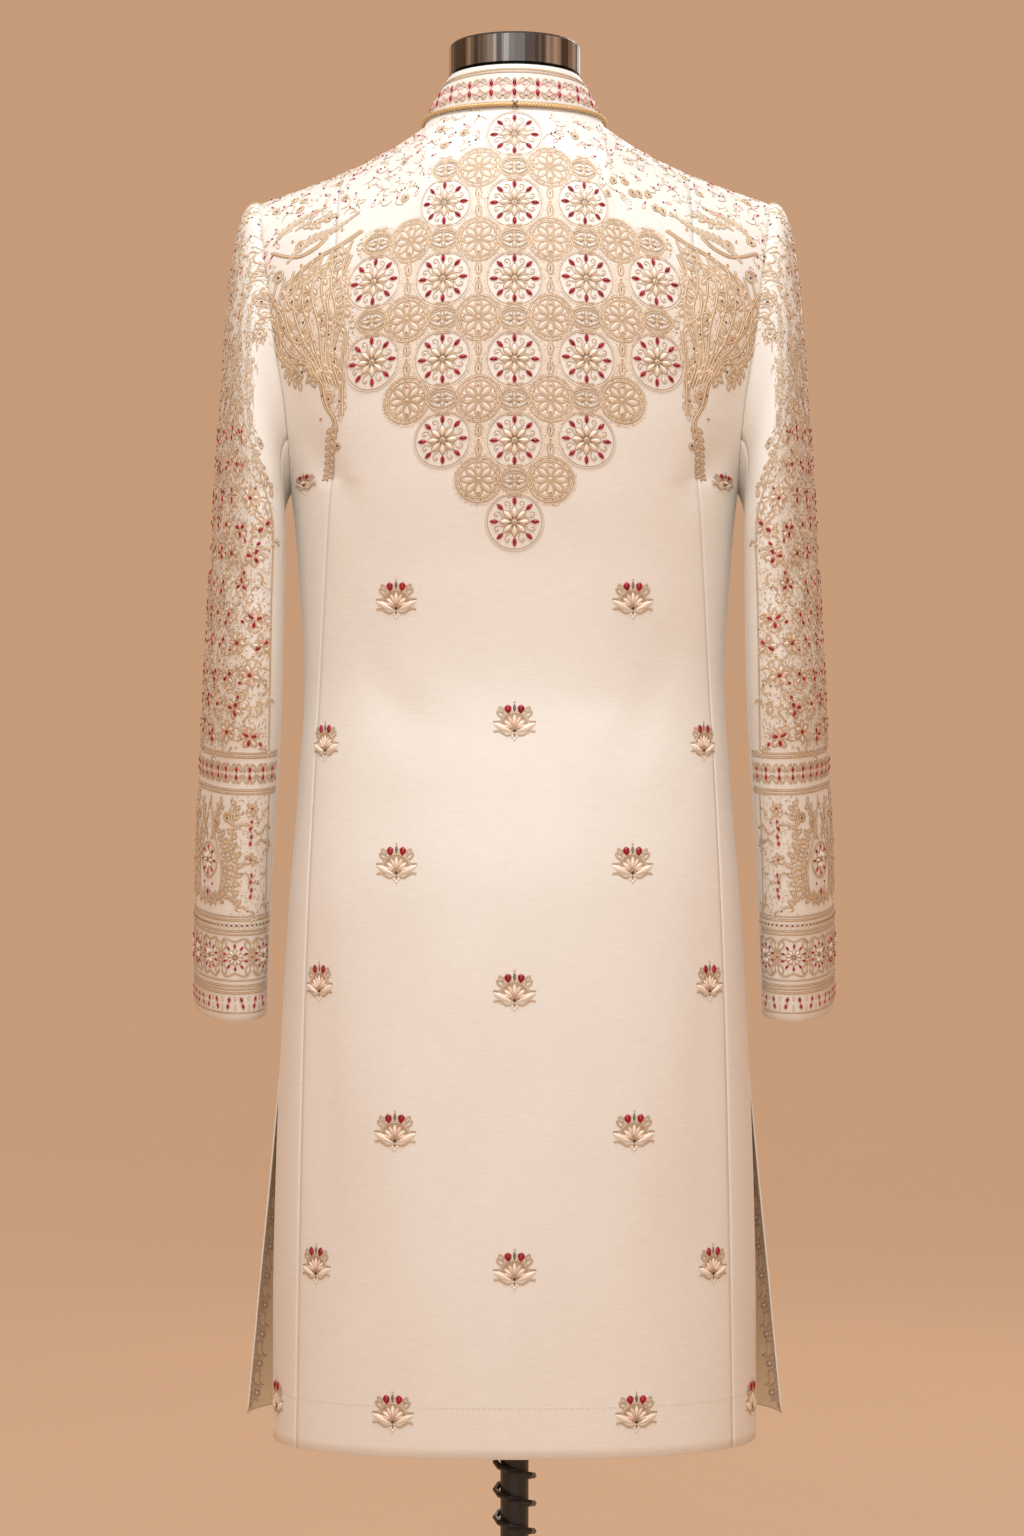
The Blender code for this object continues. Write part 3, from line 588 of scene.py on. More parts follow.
def form_cloth():
    """The dark jersey that covers the dress form."""
    made, tree, shader = new_material("form_cover", (0.035, 0.033, 0.032), 0.85, sheen=0.3)
    wale = noise(tree, mapped(tree, "Object", (900.0, 900.0, 500.0)), 1.0, 2.0)
    colour = blend_colours(tree, wale, (0.022, 0.021, 0.021), (0.055, 0.052, 0.050))
    tree.links.new(colour, shader.inputs["Base Color"])
    bump(tree, shader, wale, 0.4, 0.0004)
    return made


def thread_finish(name, light, dark, roughness=0.42, specular=0.6, sheen=0.2):
    """Twisted silk or metal thread: a fine slanting twist and uneven tone."""
    made, tree, shader = new_material(name, light, roughness, sheen=sheen, specular=specular)
    fine = noise(tree, mapped(tree, "Object", (1600.0, 1600.0, 1600.0)), 1.0, 2.0)
    broad = noise(tree, mapped(tree, "Object", (60.0, 60.0, 60.0)), 1.0, 2.0)
    tone = math(tree, "ADD", math(tree, "MULTIPLY", fine, 0.6), math(tree, "MULTIPLY", broad, 0.4))
    colour = blend_colours(tree, spread(tree, tone, 0.35, 0.65), dark, light)
    tree.links.new(colour, shader.inputs["Base Color"])
    bump(tree, shader, fine, 0.4, 0.0003)
    return made


def bead_finish(name, light, dark, roughness=0.26):
    """Cut glass or glazed bead, darker in its depth."""
    made, tree, shader = new_material(name, light, roughness, specular=0.45)
    depth = noise(tree, mapped(tree, "Object", (420.0, 420.0, 420.0)), 1.0, 1.0)
    colour = blend_colours(tree, spread(tree, depth, 0.35, 0.65), dark, light)
    tree.links.new(colour, shader.inputs["Base Color"])
    bump(tree, shader, depth, 0.2, 0.0003)
    return made


def embroidery_finishes():
    """Every thread and bead of the embroidery by its short name."""
    return {
        "zari": thread_finish("thread_zari", (0.84, 0.65, 0.43), (0.62, 0.43, 0.25), 0.34),
        # edge: dark brown thread, and also the flat band under every zari ridge, which is painted shadow of
        # the raised thread
        "edge": thread_finish("thread_edge", (0.50, 0.34, 0.20), (0.37, 0.24, 0.135), 0.55),
        "shade": thread_finish("thread_shade", (0.36, 0.22, 0.12), (0.23, 0.13, 0.07), 0.45),
        "pearl": thread_finish("silk_pearl", (0.93, 0.84, 0.72), (0.80, 0.67, 0.52), 0.30),
        "petal_pink": thread_finish("silk_blush", (0.86, 0.62, 0.50), (0.74, 0.47, 0.36), 0.36),
        "pink": thread_finish("thread_pink", (0.83, 0.44, 0.38), (0.70, 0.27, 0.25), 0.40),
        "red_line": thread_finish("thread_red", (0.42, 0.03, 0.035), (0.26, 0.012, 0.015), 0.40),
        "fill": thread_finish("laid_beige", (0.77, 0.665, 0.54), (0.69, 0.575, 0.445), 0.48),
        "deep_fill": thread_finish("laid_tan", (0.64, 0.47, 0.31), (0.50, 0.345, 0.215), 0.50),
        "pale_fill": thread_finish("laid_cream", (0.82, 0.72, 0.60), (0.75, 0.64, 0.51), 0.48),
        # facing: the gold facing inside the slits, its own gold colour made very bright as painted light on a
        # strip that lies in shade
        "facing": thread_finish("facing_gold", (0.97, 0.82, 0.58), (0.86, 0.68, 0.43), 0.45),
        "red": bead_finish("bead_crimson", (0.44, 0.008, 0.016), (0.17, 0.002, 0.005)),
        "dark": bead_finish("bead_dark", (0.10, 0.055, 0.04), (0.03, 0.018, 0.014)),
        "green": bead_finish("bead_sage", (0.27, 0.22, 0.14), (0.14, 0.11, 0.07), 0.25),
    }


def gold_weave():
    """The metal braid of the cord and the covered buttons."""
    made, tree, shader = new_material("gold_weave", (0.78, 0.50, 0.22), 0.38, metallic=0.45, sheen=0.2)
    fine = noise(tree, mapped(tree, "Object", (1300.0, 1300.0, 1300.0)), 1.0, 2.0)
    colour = blend_colours(tree, fine, (0.60, 0.36, 0.13), (0.88, 0.62, 0.32))
    tree.links.new(colour, shader.inputs["Base Color"])
    bump(tree, shader, fine, 0.5, 0.0004)
    return made


# ---------------------------------------------------------------- meshes
def mesh_object(name, points, faces, materials, uvs=None, face_materials=None, smooth=True):
    """An object from arrays; faces is a list of arrays that each hold faces of one size."""
    mesh = bpy.data.meshes.new(name)
    loops = np.concatenate([part.ravel() for part in faces]).astype(np.int32)
    sizes = np.concatenate([np.full(len(part), part.shape[1]) for part in faces]).astype(np.int32)
    starts = np.concatenate([[0], np.cumsum(sizes)[:-1]]).astype(np.int32)
    mesh.vertices.add(len(points))
    mesh.vertices.foreach_set("co", np.ascontiguousarray(points, np.float32).ravel())
    mesh.loops.add(len(loops))
    mesh.loops.foreach_set("vertex_index", loops)
    mesh.polygons.add(len(sizes))
    mesh.polygons.foreach_set("loop_start", starts)
    mesh.polygons.foreach_set("loop_total", sizes)
    mesh.polygons.foreach_set("use_smooth", np.full(len(sizes), smooth))
    for finish in materials:
        mesh.materials.append(finish)
    if face_materials is not None:
        mesh.polygons.foreach_set("material_index", face_materials.astype(np.int32))
    if uvs is not None:
        layer = mesh.uv_layers.new(name="flat")
        layer.uv.foreach_set("vector", np.ascontiguousarray(uvs[loops], np.float32).ravel())
    mesh.update()
    mesh.validate()
    made = bpy.data.objects.new(name, mesh)
    bpy.context.scene.collection.objects.link(made)
    return made


def draw_back(grid, gap):
    """Move the four edges of a grid in by the seam gap."""
    pulled = grid.copy()
    pulled[:, 0] += unit(grid[:, 1] - grid[:, 0]) * gap / 2
    pulled[:, -1] += unit(grid[:, -2] - grid[:, -1]) * gap / 2
    pulled[0] += unit(grid[1] - grid[0]) * gap / 2
    pulled[-1] += unit(grid[-2] - grid[-1]) * gap / 2
    return pulled


def cloth_wall(name, sheet, thickness, finish, node_name):
    """A thin closed shell of cloth with rounded edges, on the form of its solid."""
    rows, columns = sheet.across.shape
    roll = min(0.0003, thickness * 0.4)
    outer = sheet.points.copy()
    outer = draw_back(outer, SEAM_GAP)
    rim = draw_back(sheet.points, SEAM_GAP)
    inner = outer - sheet.normals * thickness
    edge = np.zeros((rows, columns), bool)
    edge[0] = edge[-1] = True
    edge[:, 0] = edge[:, -1] = True
    outer[edge] -= sheet.normals[edge] * roll * 0.8
    inner[edge] += sheet.normals[edge] * roll * 0.8
    inward = draw_back(outer, 2 * roll)
    outer[edge] = inward[edge]
    middle = rim - sheet.normals * thickness / 2
    path = [(0, c) for c in range(columns)]
    path += [(r, columns - 1) for r in range(1, rows)]
    path += [(rows - 1, c) for c in range(columns - 2, -1, -1)]
    path += [(r, 0) for r in range(rows - 2, 0, -1)]
    path = np.array(path)
    count = rows * columns
    points = np.concatenate([outer.reshape(-1, 3), inner.reshape(-1, 3), middle[path[:, 0], path[:, 1]]])
    flat = np.stack([sheet.across, sheet.along], axis=-1)
    uvs = np.concatenate([flat.reshape(-1, 2), flat.reshape(-1, 2), flat[path[:, 0], path[:, 1]]])
    index = np.arange(count).reshape(rows, columns)
    quads = np.stack([index[:-1, :-1], index[:-1, 1:], index[1:, 1:], index[1:, :-1]], axis=-1).reshape(-1, 4)
    here = index[path[:, 0], path[:, 1]]
    there = np.roll(here, -1)
    mid = 2 * count + np.arange(len(path))
    mid_next = np.roll(mid, -1)
    sides = np.concatenate([
        np.stack([here, mid, mid_next, there], axis=-1),
        np.stack([mid, here + count, there + count, mid_next], axis=-1),
    ])
    a, b, c = (points[quads[0][i]] for i in (0, 1, 2))
    if np.dot(np.cross(b - a, c - a), sheet.normals[0, 0]) < 0:
        quads = quads[:, ::-1]
        sides = sides[:, ::-1]
    faces = np.concatenate([quads, quads[:, ::-1] + count, sides])
    made = mesh_object(name, points, [faces], [finish], uvs)
    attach(made, "root")
    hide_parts(node_name)
    return made


# ---------------------------------------------------------------- sheets of the coat
# Creases: across and along of both ends, half width, height (below 0 is a trough), in metres.
BACK_CREASES = (
    (0.060, 0.52, 0.135, 0.66, 0.016, -0.0016),
    (-0.070, 0.50, -0.140, 0.67, 0.017, -0.0018),
    (0.020, 0.56, 0.120, 0.60, 0.014, -0.0011),
    (-0.010, 0.60, -0.115, 0.585, 0.013, -0.0010),
    (0.085, 0.02, 0.105, 0.42, 0.030, 0.0022),
    (-0.095, 0.00, -0.100, 0.46, 0.028, 0.0020),
    (0.020, 0.00, -0.005, 0.50, 0.034, -0.0016),
    (0.150, 0.05, 0.165, 0.50, 0.018, -0.0018),
    (-0.155, 0.08, -0.160, 0.52, 0.017, -0.0016),
    (0.120, 0.72, 0.190, 0.86, 0.013, -0.0030),
    (-0.125, 0.73, -0.195, 0.85, 0.014, -0.0028),
)
FRONT_CREASES = (
    (0.060, 0.50, 0.150, 0.64, 0.017, -0.0018),
    (0.030, 0.57, 0.130, 0.60, 0.013, -0.0012),
    (0.110, 0.02, 0.100, 0.44, 0.028, 0.0022),
    (0.175, 0.00, 0.160, 0.30, 0.020, -0.0016),
    (0.120, 0.70, 0.205, 0.84, 0.014, -0.0028),
    (0.070, 0.88, 0.150, 0.97, 0.016, -0.0014),
    (-0.055, 0.51, -0.155, 0.65, 0.016, -0.0017),
    (-0.035, 0.58, -0.125, 0.595, 0.014, -0.0011),
    (-0.105, 0.03, -0.112, 0.46, 0.030, 0.0020),
    (-0.180, 0.00, -0.168, 0.33, 0.019, -0.0017),
    (-0.115, 0.71, -0.200, 0.85, 0.013, -0.0027),
    (-0.075, 0.87, -0.145, 0.98, 0.015, -0.0013),
)
SLEEVE_CREASES = (
    (-0.060, 0.300, 0.080, 0.345, 0.012, -0.0020),
    (0.110, 0.330, 0.020, 0.395, 0.012, -0.0022),
    (-0.100, 0.390, 0.000, 0.360, 0.013, -0.0018),
    (0.120, 0.420, 0.050, 0.455, 0.011, -0.0015),
    (-0.020, 0.180, 0.100, 0.215, 0.012, -0.0014),
    (0.060, 0.520, 0.085, 0.640, 0.010, -0.0018),
    (-0.070, 0.510, -0.095, 0.630, 0.010, -0.0018),
    (0.000, 0.020, 0.012, 0.300, 0.020, 0.0010),
)


def mirrored_creases(creases):
    return tuple((-a, b, -c, d, half_width, height) for a, b, c, d, half_width, height in creases)


class BodySide:
    """The whole back or front quarter as a fine grid, and panels cut from it."""

    def __init__(self, side, hem_z, creases):
        self.side = side
        self.hem_z = hem_z
        self.creases = creases
        self.u = np.linspace(0, 1, BODY_COLUMNS + 1)
        rows = [body_row(side, v, self.u, hem_z) for v in body_levels()]
        self.points = np.array([row[0] for row in rows])
        self.normals = np.array([row[1] for row in rows])
        self.across = lengths(self.points, 1)
        self.along = lengths(self.points, 0)

    def whole(self):
        """Both quarters as one sheet, for laying embroidery."""
        flip = np.array([-1.0, 1.0, 1.0])
        points = np.concatenate([self.points[:, :0:-1] * flip, self.points], axis=1)
        normals = np.concatenate([self.normals[:, :0:-1] * flip, self.normals], axis=1)
        across = np.concatenate([-self.across[:, :0:-1], self.across], axis=1)
        along = np.concatenate([self.along[:, :0:-1], self.along], axis=1)
        return Sheet(points, normals, across, along, self.creases)

    def panel(self, first_u, last_u, columns):
        """The sheet between two seams, each given as a function of v."""
        points, normals, across, along = [], [], [], []
        for row, v in enumerate(body_levels()):
            u = np.linspace(first_u(v), last_u(v), columns + 1)
            row_points, row_normals = body_row(self.side, v, u, self.hem_z)
            points.append(row_points)
            normals.append(row_normals)
            across.append(np.sign(u) * np.interp(np.abs(u), self.u, self.across[row]))
            along.append(np.interp(np.abs(u), self.u, self.along[row]))
        return Sheet(*(np.array(grid) for grid in (points, normals, across, along)), self.creases)


def front_edge(width):
    """The u at which a front stops beyond the centre line, with the width it passes it by."""
    def at(v):
        probe = body_row(-1, v, np.array([0.1]), FRONT_HEM_Z)[0][0]
        return -width * 0.1 / abs(probe[0])
    return at


def sheet_area(sheet):
    """Area of a sheet's grid, and its flat width and length."""
    p = sheet.points
    area = np.linalg.norm(np.cross(p[1:, 1:] - p[:-1, :-1], p[1:, :-1] - p[:-1, 1:]), axis=-1).sum() / 2
    width = float(sheet.across.max() - sheet.across.min())
    length = float(sheet.along.max() - sheet.along.min())
    return float(area), width, length


def declare(piece, sheet):
    """Work out how large the sheet's cloth is when it lies flat; nothing is done with the result."""
    area, width, length = sheet_area(sheet)
    area = min(area, width * length)


def sleeve_sheets():
    """The top and under sleeve of the wearer's left, each as a sheet."""
    columns = SLEEVE_COLUMNS
    grid = sleeve_grid(columns, *SLEEVE_ROWS)
    along_loop = np.roll(grid, -1, axis=1) - np.roll(grid, 1, axis=1)
    normals = unit(np.cross(np.gradient(grid, axis=0), along_loop))
    loop = 4 * columns
    back_seam = columns + BACK_SLEEVE_SEAM * columns
    front_seam = 3 * columns - FRONT_SLEEVE_SEAM * columns
    places = {
        "top": np.linspace(front_seam - loop, back_seam, 3 * columns),
        "under": np.linspace(back_seam, front_seam, columns + 4),
    }
    sheets = {}
    for name, columns_at in places.items():
        points = pick_columns(grid, columns_at)
        across = lengths(points, 1)
        zero = 0.0 if name == "top" else 2.0 * columns
        offset = np.array([np.interp(zero, columns_at, row) for row in across])
        along = lengths(points[::-1], 0)[::-1]
        creases = SLEEVE_CREASES if name == "top" else ()
        sheets[name] = Sheet(points, unit(pick_columns(normals, columns_at)),
                             across - offset[:, None], along, creases)
    return sheets


def collar_sheet():
    angle = np.linspace(-pi / 2 + COLLAR_END_GAP, 3 * pi / 2 - COLLAR_END_GAP, COLLAR_COLUMNS + 1)
    base = neck_loop(angle, COLLAR_LIFT)
    back = np.sin(angle)
    end = np.minimum(angle - angle[0], angle[-1] - angle) / 0.30
    corner = np.clip(1 - end, 0, 1) ** 2
    top = np.stack([
        COLLAR_TOP_HALF_WIDTH * np.cos(angle),
        np.where(back > 0, COLLAR_TOP_BACK_Y, -COLLAR_TOP_FRONT_Y) * back,
        base[:, 2] + COLLAR_HEIGHT - COLLAR_LIFT - 0.010 * corner,
    ], axis=-1)
    rows = []
    for t in np.linspace(0, 1, COLLAR_ROWS + 1):
        bulge = COLLAR_BULGE * sin(pi * t)
        rows.append(base * (1 - t) + top * t + unit(base * [1, 1, 0]) * bulge)
    grid = np.array(rows)
    normals = unit(np.cross(np.gradient(grid, axis=1), np.gradient(grid, axis=0)))
    across = lengths(grid, 1)
    middle = across[:, COLLAR_COLUMNS // 2][:, None]
    return Sheet(grid, normals, across - middle, lengths(grid, 0))


# ---------------------------------------------------------------- embroidery, drawn flat in millimetres
# Places are (across, along) on the cloth. Angles run from up the cloth toward +across.
LAID_ON = 0.00022            # how far a thread's edges stand off the cloth
THREAD_STEP = 2.7            # length of one straight stretch of a curved thread
PAINTED_SHADOW_HEIGHT = 0.16       # a flat dark band under and beside a zari ridge, painted shadow of the raised thread
HATCH_STEP = 5.0             # the same for laid threads, which are straight when flat
TWIG_STEP = 2.6              # the same for a twig's stem
SMALL_DOME = 2.6             # a shape narrower than this has one rise only
SHORT_PETAL = 6.5            # a petal shorter than this has fewer corners


def arc(radius, start=0.0, sweep=2 * pi, step=THREAD_STEP):
    count = max(5, int(abs(sweep) * radius / step) + 1)
    closed = abs(sweep) >= 2 * pi
    angle = np.linspace(start, start + sweep, count, endpoint=not closed)
    return np.stack([radius * np.sin(angle), radius * np.cos(angle)], axis=-1)


def moved(points, at=(0.0, 0.0), angle=0.0, size=1.0, flip=1):
    x = np.asarray(points, float)[:, 0] * size * flip
    y = np.asarray(points, float)[:, 1] * size
    return np.stack([
        x * cos(angle) + y * sin(angle) + at[0],
        y * cos(angle) - x * sin(angle) + at[1],
    ], axis=-1)


def curve(points, step=THREAD_STEP):
    """A smooth line through the points in nearly even steps."""
    p = np.asarray(points, float)
    p = np.vstack([2 * p[0] - p[1], p, 2 * p[-1] - p[-2]])
    stretches = []
    for a, b, c, d in zip(p, p[1:], p[2:], p[3:]):
        t = np.linspace(0, 1, max(2, int(hypot(*(c - b)) / step)), endpoint=False)[:, None]
        stretches.append(hermite(b, (c - a) / 2, c, (d - b) / 2, t))
    return np.vstack([*stretches, p[-2:-1]])


def petal_shape(length, width, tip, count=None):
    """Outline of a petal from the origin up; above 1, tip puts its widest part nearer its end."""
    count = count or (5 if length < SHORT_PETAL else 7)
    y = (1 - np.cos(np.linspace(0, pi, count))) / 2
    x = width / 2 * np.sin(pi * y**tip) ** 0.8
    side = np.stack([x, y * length], axis=-1)
    return np.vstack([side[:-1], (side * [-1, 1])[:0:-1]])


def lens(half_length, half_height, count=26):
    """Outline of a pointed oval that lies across the cloth."""
    t = np.linspace(0, 2 * pi, count, endpoint=False)
    return np.stack([half_length * np.cos(t), half_height * np.sin(t) * np.abs(np.sin(t)) ** 0.35], axis=-1)


CURL = curve([(0, 10.5), (-1.9, 13.0), (-1.6, 16.2), (0.8, 17.2), (1.9, 15.4), (0.4, 14.2)], 1.4)


class Pattern:
    """Embroidery as thread ridges and domed shapes, gathered by finish until it is laid."""

    def __init__(self):
        self.points = {}
        self.faces = {}
        self.count = {}
        self.flip = 1

    def add(self, finish, points, faces):
        start = self.count.get(finish, 0)
        points = points * [self.flip, 1, 1]
        self.points.setdefault(finish, []).append(points)
        self.faces.setdefault(finish, []).append(faces + start)
        self.count[finish] = start + len(points)

    def thread(self, finish, path, width=1.0, height=0.5, closed=False):
        """A ridge of thread along a path."""
        path = np.asarray(path, float)
        if closed:
            path = np.vstack([path, path[:1]])
        ahead = np.gradient(path, axis=0)
        if closed:
            ahead[0] = ahead[-1] = path[1] - path[-2]
        ahead = unit(ahead)
        side = np.stack([-ahead[:, 1], ahead[:, 0]], axis=-1) * width / 2
        rise = np.zeros((len(path), 1))
        self.strip(finish, [np.hstack([path + side, rise]), np.hstack([path, rise + height]),
                            np.hstack([path - side, rise])])
        # A zari ridge of some width gets a wider flat band of the edge finish under it: painted shadow beside
        # the raised thread.
        if finish == "zari" and width > 0.6:
            under = rise + PAINTED_SHADOW_HEIGHT
            self.strip("edge", [np.hstack([path + side * 1.9, under]), np.hstack([path - side * 1.9, under])])

    def strip(self, finish, lines):
        """A band of faces between lines of points that run side by side."""
        points = np.stack(lines, axis=1)
        index = np.arange(points.shape[0] * points.shape[1]).reshape(points.shape[:2])
        a, b, c, d = index[:-1, :-1], index[:-1, 1:], index[1:, 1:], index[1:, :-1]
        faces = np.concatenate([
            np.stack([a, b, c], axis=-1).reshape(-1, 3),
            np.stack([a, c, d], axis=-1).reshape(-1, 3),
        ])
        self.add(finish, points.reshape(-1, 3), faces)

    def dome(self, finish, outline, height):
        """A padded shape that rises from its outline to its middle."""
        count = len(outline)
        middle = outline.mean(axis=0)
        rise = np.zeros((count, 1))
        here = np.arange(count)
        there = np.roll(here, -1)
        if min(np.ptp(outline, axis=0)) < SMALL_DOME:
            points = np.vstack([np.hstack([outline, rise]), [[*middle, height]]])
            self.add(finish, points, np.stack([here, there, np.full(count, count)], axis=-1))
            return
        points = np.vstack([
            np.hstack([outline, rise]),
            np.hstack([outline * 0.6 + middle * 0.4, rise + height * 0.8]),
            [[*middle, height]],
        ])
        faces = np.concatenate([
            np.stack([here, there, there + count], axis=-1),
            np.stack([here, there + count, here + count], axis=-1),
            np.stack([here + count, there + count, np.full(count, 2 * count)], axis=-1),
        ])
        self.add(finish, points, faces)

    def petal(self, finish, at, angle, start, length, width, height=0.8, tip=1.4):
        at = (at[0] + start * sin(angle), at[1] + start * cos(angle))
        self.dome(finish, moved(petal_shape(length, width, tip), at, angle), height)

    def petal_line(self, finish, at, angle, start, length, width, thick=0.7, tip=1.4):
        at = (at[0] + start * sin(angle), at[1] + start * cos(angle))
        self.thread(finish, moved(petal_shape(length, width, tip), at, angle), thick, 0.4, closed=True)

    def dot(self, finish, at, radius, height=0.9):
        self.dome(finish, moved(arc(radius, step=1.2 * radius), at), height)

    def ring(self, finish, at, radius, thick=0.9):
        self.thread(finish, moved(arc(radius), at), thick, closed=True)

    def line(self, finish, start, end, thick=0.9, height=0.45, step=4.0):
        count = max(2, int(hypot(end[0] - start[0], end[1] - start[1]) / step) + 1)
        self.thread(finish, np.linspace(start, end, count), thick, height)

    def hatch(self, finish, inside, box, pitch=1.3, height=0.06):
        """Rows of laid thread wherever inside(across, along) is true."""
        left, low, right, high = box
        across = np.arange(left, right, 0.6)
        for along in np.arange(low, high, pitch):
            on = np.concatenate([[False], inside(across, np.full_like(across, along)), [False]])
            edges = np.flatnonzero(on[1:] != on[:-1])
            for first, last in zip(edges[::2], edges[1::2]):
                if last - first > 2:
                    ends = (across[first], along), (across[last - 1], along)
                    self.line(finish, *ends, pitch * 1.02, height, HATCH_STEP)

    def seeds(self, finishes, inside, box, spacing, seed, length=3.4, width=1.1, height=0.5):
        """Short slanting stitches, turning as they go, wherever inside(across, along) is true."""
        rng = np.random.default_rng(seed)
        left, low, right, high = box
        columns = np.arange(left, right, spacing)
        rows = np.arange(low, high, spacing * 0.85)
        across, along = np.meshgrid(columns, rows)
        across = (across + rng.uniform(-0.45, 0.45, across.shape) * spacing).ravel()
        along = (along + rng.uniform(-0.45, 0.45, along.shape) * spacing).ravel()
        turn = 2.2 * np.sin(across * 0.17 + 1.6 * np.sin(along * 0.12)) + 2.0 * np.cos(along * 0.19)
        long = length * rng.uniform(0.6, 1.15, len(across)) / 2
        choice = rng.integers(0, len(finishes), len(across))
        ahead = np.stack([np.sin(turn), np.cos(turn)], axis=-1) * long[:, None]
        aside = np.stack([np.cos(turn), -np.sin(turn)], axis=-1) * width / 2
        middle = np.stack([across, along], axis=-1)
        flat = np.stack([middle - ahead, middle + aside, middle + ahead, middle - aside, middle], axis=1)
        rise = np.array([0.0, 0.0, 0.0, 0.0, height])
        points = np.concatenate([flat, np.broadcast_to(rise[None, :, None], flat.shape[:2] + (1,))], axis=-1)
        corners = np.array([(0, 1, 4), (1, 2, 4), (2, 3, 4), (3, 0, 4)])
        wanted = inside(across, along)
        for k, finish in enumerate(finishes):
            chosen = points[wanted & (choice == k)]
            if len(chosen):
                faces = corners[None] + 5 * np.arange(len(chosen))[:, None, None]
                self.add(finish, chosen.reshape(-1, 3), faces.reshape(-1, 3))

    def twig(self, at, angle, size, hand, rng, leaf="zari", stalk="zari"):
        """A curling stem with small leaves off both sides and a bead at its tip."""
        bends = [(0, 0), (2.6 * hand, 4.5), (0.6 * hand, 9.0), (-2.8 * hand, 11.0)]
        stem = moved(curve(bends, TWIG_STEP), at, angle, size)
        self.thread(stalk, stem, 0.85, 0.5)
        for share, side in ((0.3, 1), (0.5, -1), (0.72, 1), (0.9, -1)):
            root = stem[int(share * (len(stem) - 1))]
            lean = angle + side * rng.uniform(0.7, 1.3)
            self.dome(leaf if rng.random() < 0.6 else "pearl",
                      moved(petal_shape(4.6 * size, 2.2 * size, 1.3, 3), root, lean), 0.6)
        self.dot("dark" if rng.random() < 0.6 else "zari", stem[-1], 0.85, 0.9)

    def twigs(self, inside, box, spacing, seed, size=1.0):
        """Twigs strewn wherever inside(across, along) is true."""
        rng = np.random.default_rng(seed)
        left, low, right, high = box
        for along in np.arange(low, high, spacing):
            for across in np.arange(left, right, spacing):
                at = (across + rng.uniform(-0.35, 0.35) * spacing, along + rng.uniform(-0.35, 0.35) * spacing)
                angle = rng.uniform(0, 2 * pi)
                hand = rng.choice((-1, 1))
                scale = rng.uniform(0.75, 1.1)
                if inside(np.array([at[0]]), np.array([at[1]]))[0]:
                    self.twig(at, angle, size * scale, hand, rng)


def lay(work, sheet, name, finishes):
    """Lay a pattern on its cloth as one mesh for each finish, leaving out what falls outside."""
    pieces = []
    for finish in sorted(work.points):
        points = np.concatenate(work.points[finish])
        faces = np.concatenate(work.faces[finish])
        places, normals, on_cloth = sheet.place(points[:, :2] * 0.001)
        places += normals * (points[:, 2:] * 0.001 + LAID_ON)
        faces = faces[on_cloth[faces].all(axis=1)]
        if not len(faces):
            continue
        a, b, c = (places[faces[:, i]] for i in range(3))
        inward = np.einsum("ij,ij->i", np.cross(b - a, c - a), normals[faces[:, 0]]) < 0
        faces[inward] = faces[inward][:, ::-1]
        used, new_index = np.unique(faces, return_inverse=True)
        made = mesh_object(f"{name}_{finish}", places[used], [new_index.reshape(-1, 3)],
                           [finishes[finish]], points[used, :2] * 0.001)
        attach(made, "root")
        pieces.append(made)
    return pieces


# ---------------------------------------------------------------- motifs
def rosette(work, at, size=1.0, beads=8, rings=True):
    """Padded petals round a dark bead, with long red beads round them."""
    step = 2 * pi / beads
    for k in range(beads):
        angle = k * step
        work.petal("deep_fill", at, angle + step / 2, 2.6 * size, 8.6 * size, 2.6 * size, 0.4, 1.2)
        work.petal("shade", at, angle + step / 2, 1.6 * size, 4.4 * size, 1.7 * size, 0.6, 1.2)
        work.petal_line("edge", at, angle, 2.2 * size, 10.0 * size, 4.8 * size, 0.6)
        work.petal("pearl", at, angle, 2.6 * size, 9.2 * size, 4.2 * size, 1.6)
        work.petal_line("pink", at, angle, 12.6 * size, 7.4 * size, 3.9 * size, 0.5, 1.0)
        work.petal("red", at, angle, 12.9 * size, 6.7 * size, 2.9 * size, 1.5, 1.0)
        if rings:
            work.thread("deep_fill", moved(CURL, at, angle + step / 2, size), 0.8)
            work.petal("pearl", at, angle + step / 2, 13.0 * size, 3.4 * size, 1.7 * size, 0.8, 1.0)
    if rings:
        work.ring("deep_fill", at, 21.6 * size, 0.8)
        work.ring("fill", at, 23.2 * size, 0.9)
    work.dot("zari", at, 2.0 * size, 0.9)
    work.dot("dark", at, 1.25 * size, 1.6)


def eye(work, at, ends=True):
    """A pointed oval in double outline with small leaves inside."""
    work.thread("zari", moved(lens(13.4, 8.6), at), 1.0, closed=True)
    work.thread("zari", moved(lens(11.0, 6.4), at), 0.7, closed=True)
    for angle, length in ((0, 4.6), (pi / 2, 8.0), (pi, 4.6), (-pi / 2, 8.0)):
        work.petal_line("zari", at, angle, 1.0, length, 3.2, 0.7, 1.0)
        work.petal("pearl", at, angle, 1.6, length - 1.2, 1.8, 0.6, 1.0)
    for angle in (0.95, -0.95, pi - 0.95, pi + 0.95):
        work.petal("shade", at, angle, 1.4, 4.6, 1.3, 0.3, 1.0)
    work.dot("zari", at, 1.5, 0.7)
    work.dot("dark", at, 0.8, 1.0)
    if ends:
        for side in (-1, 1):
            for up in (-1, 1):
                sweep = curve([(13.0, 0), (8.0, up * 7.6), (0.0, up * 11.6), (-6.0, up * 12.4)])
                tip = curve([(12.5, 0), (15.5, up * 3.4), (18.5, up * 1.2)])
                for path in (sweep, tip):
                    work.thread("zari", moved(path, at, 0, 1, side), 0.8)
                work.dot("shade", (at[0] + side * 16.0, at[1] + up * 6.4), 0.9, 0.5)


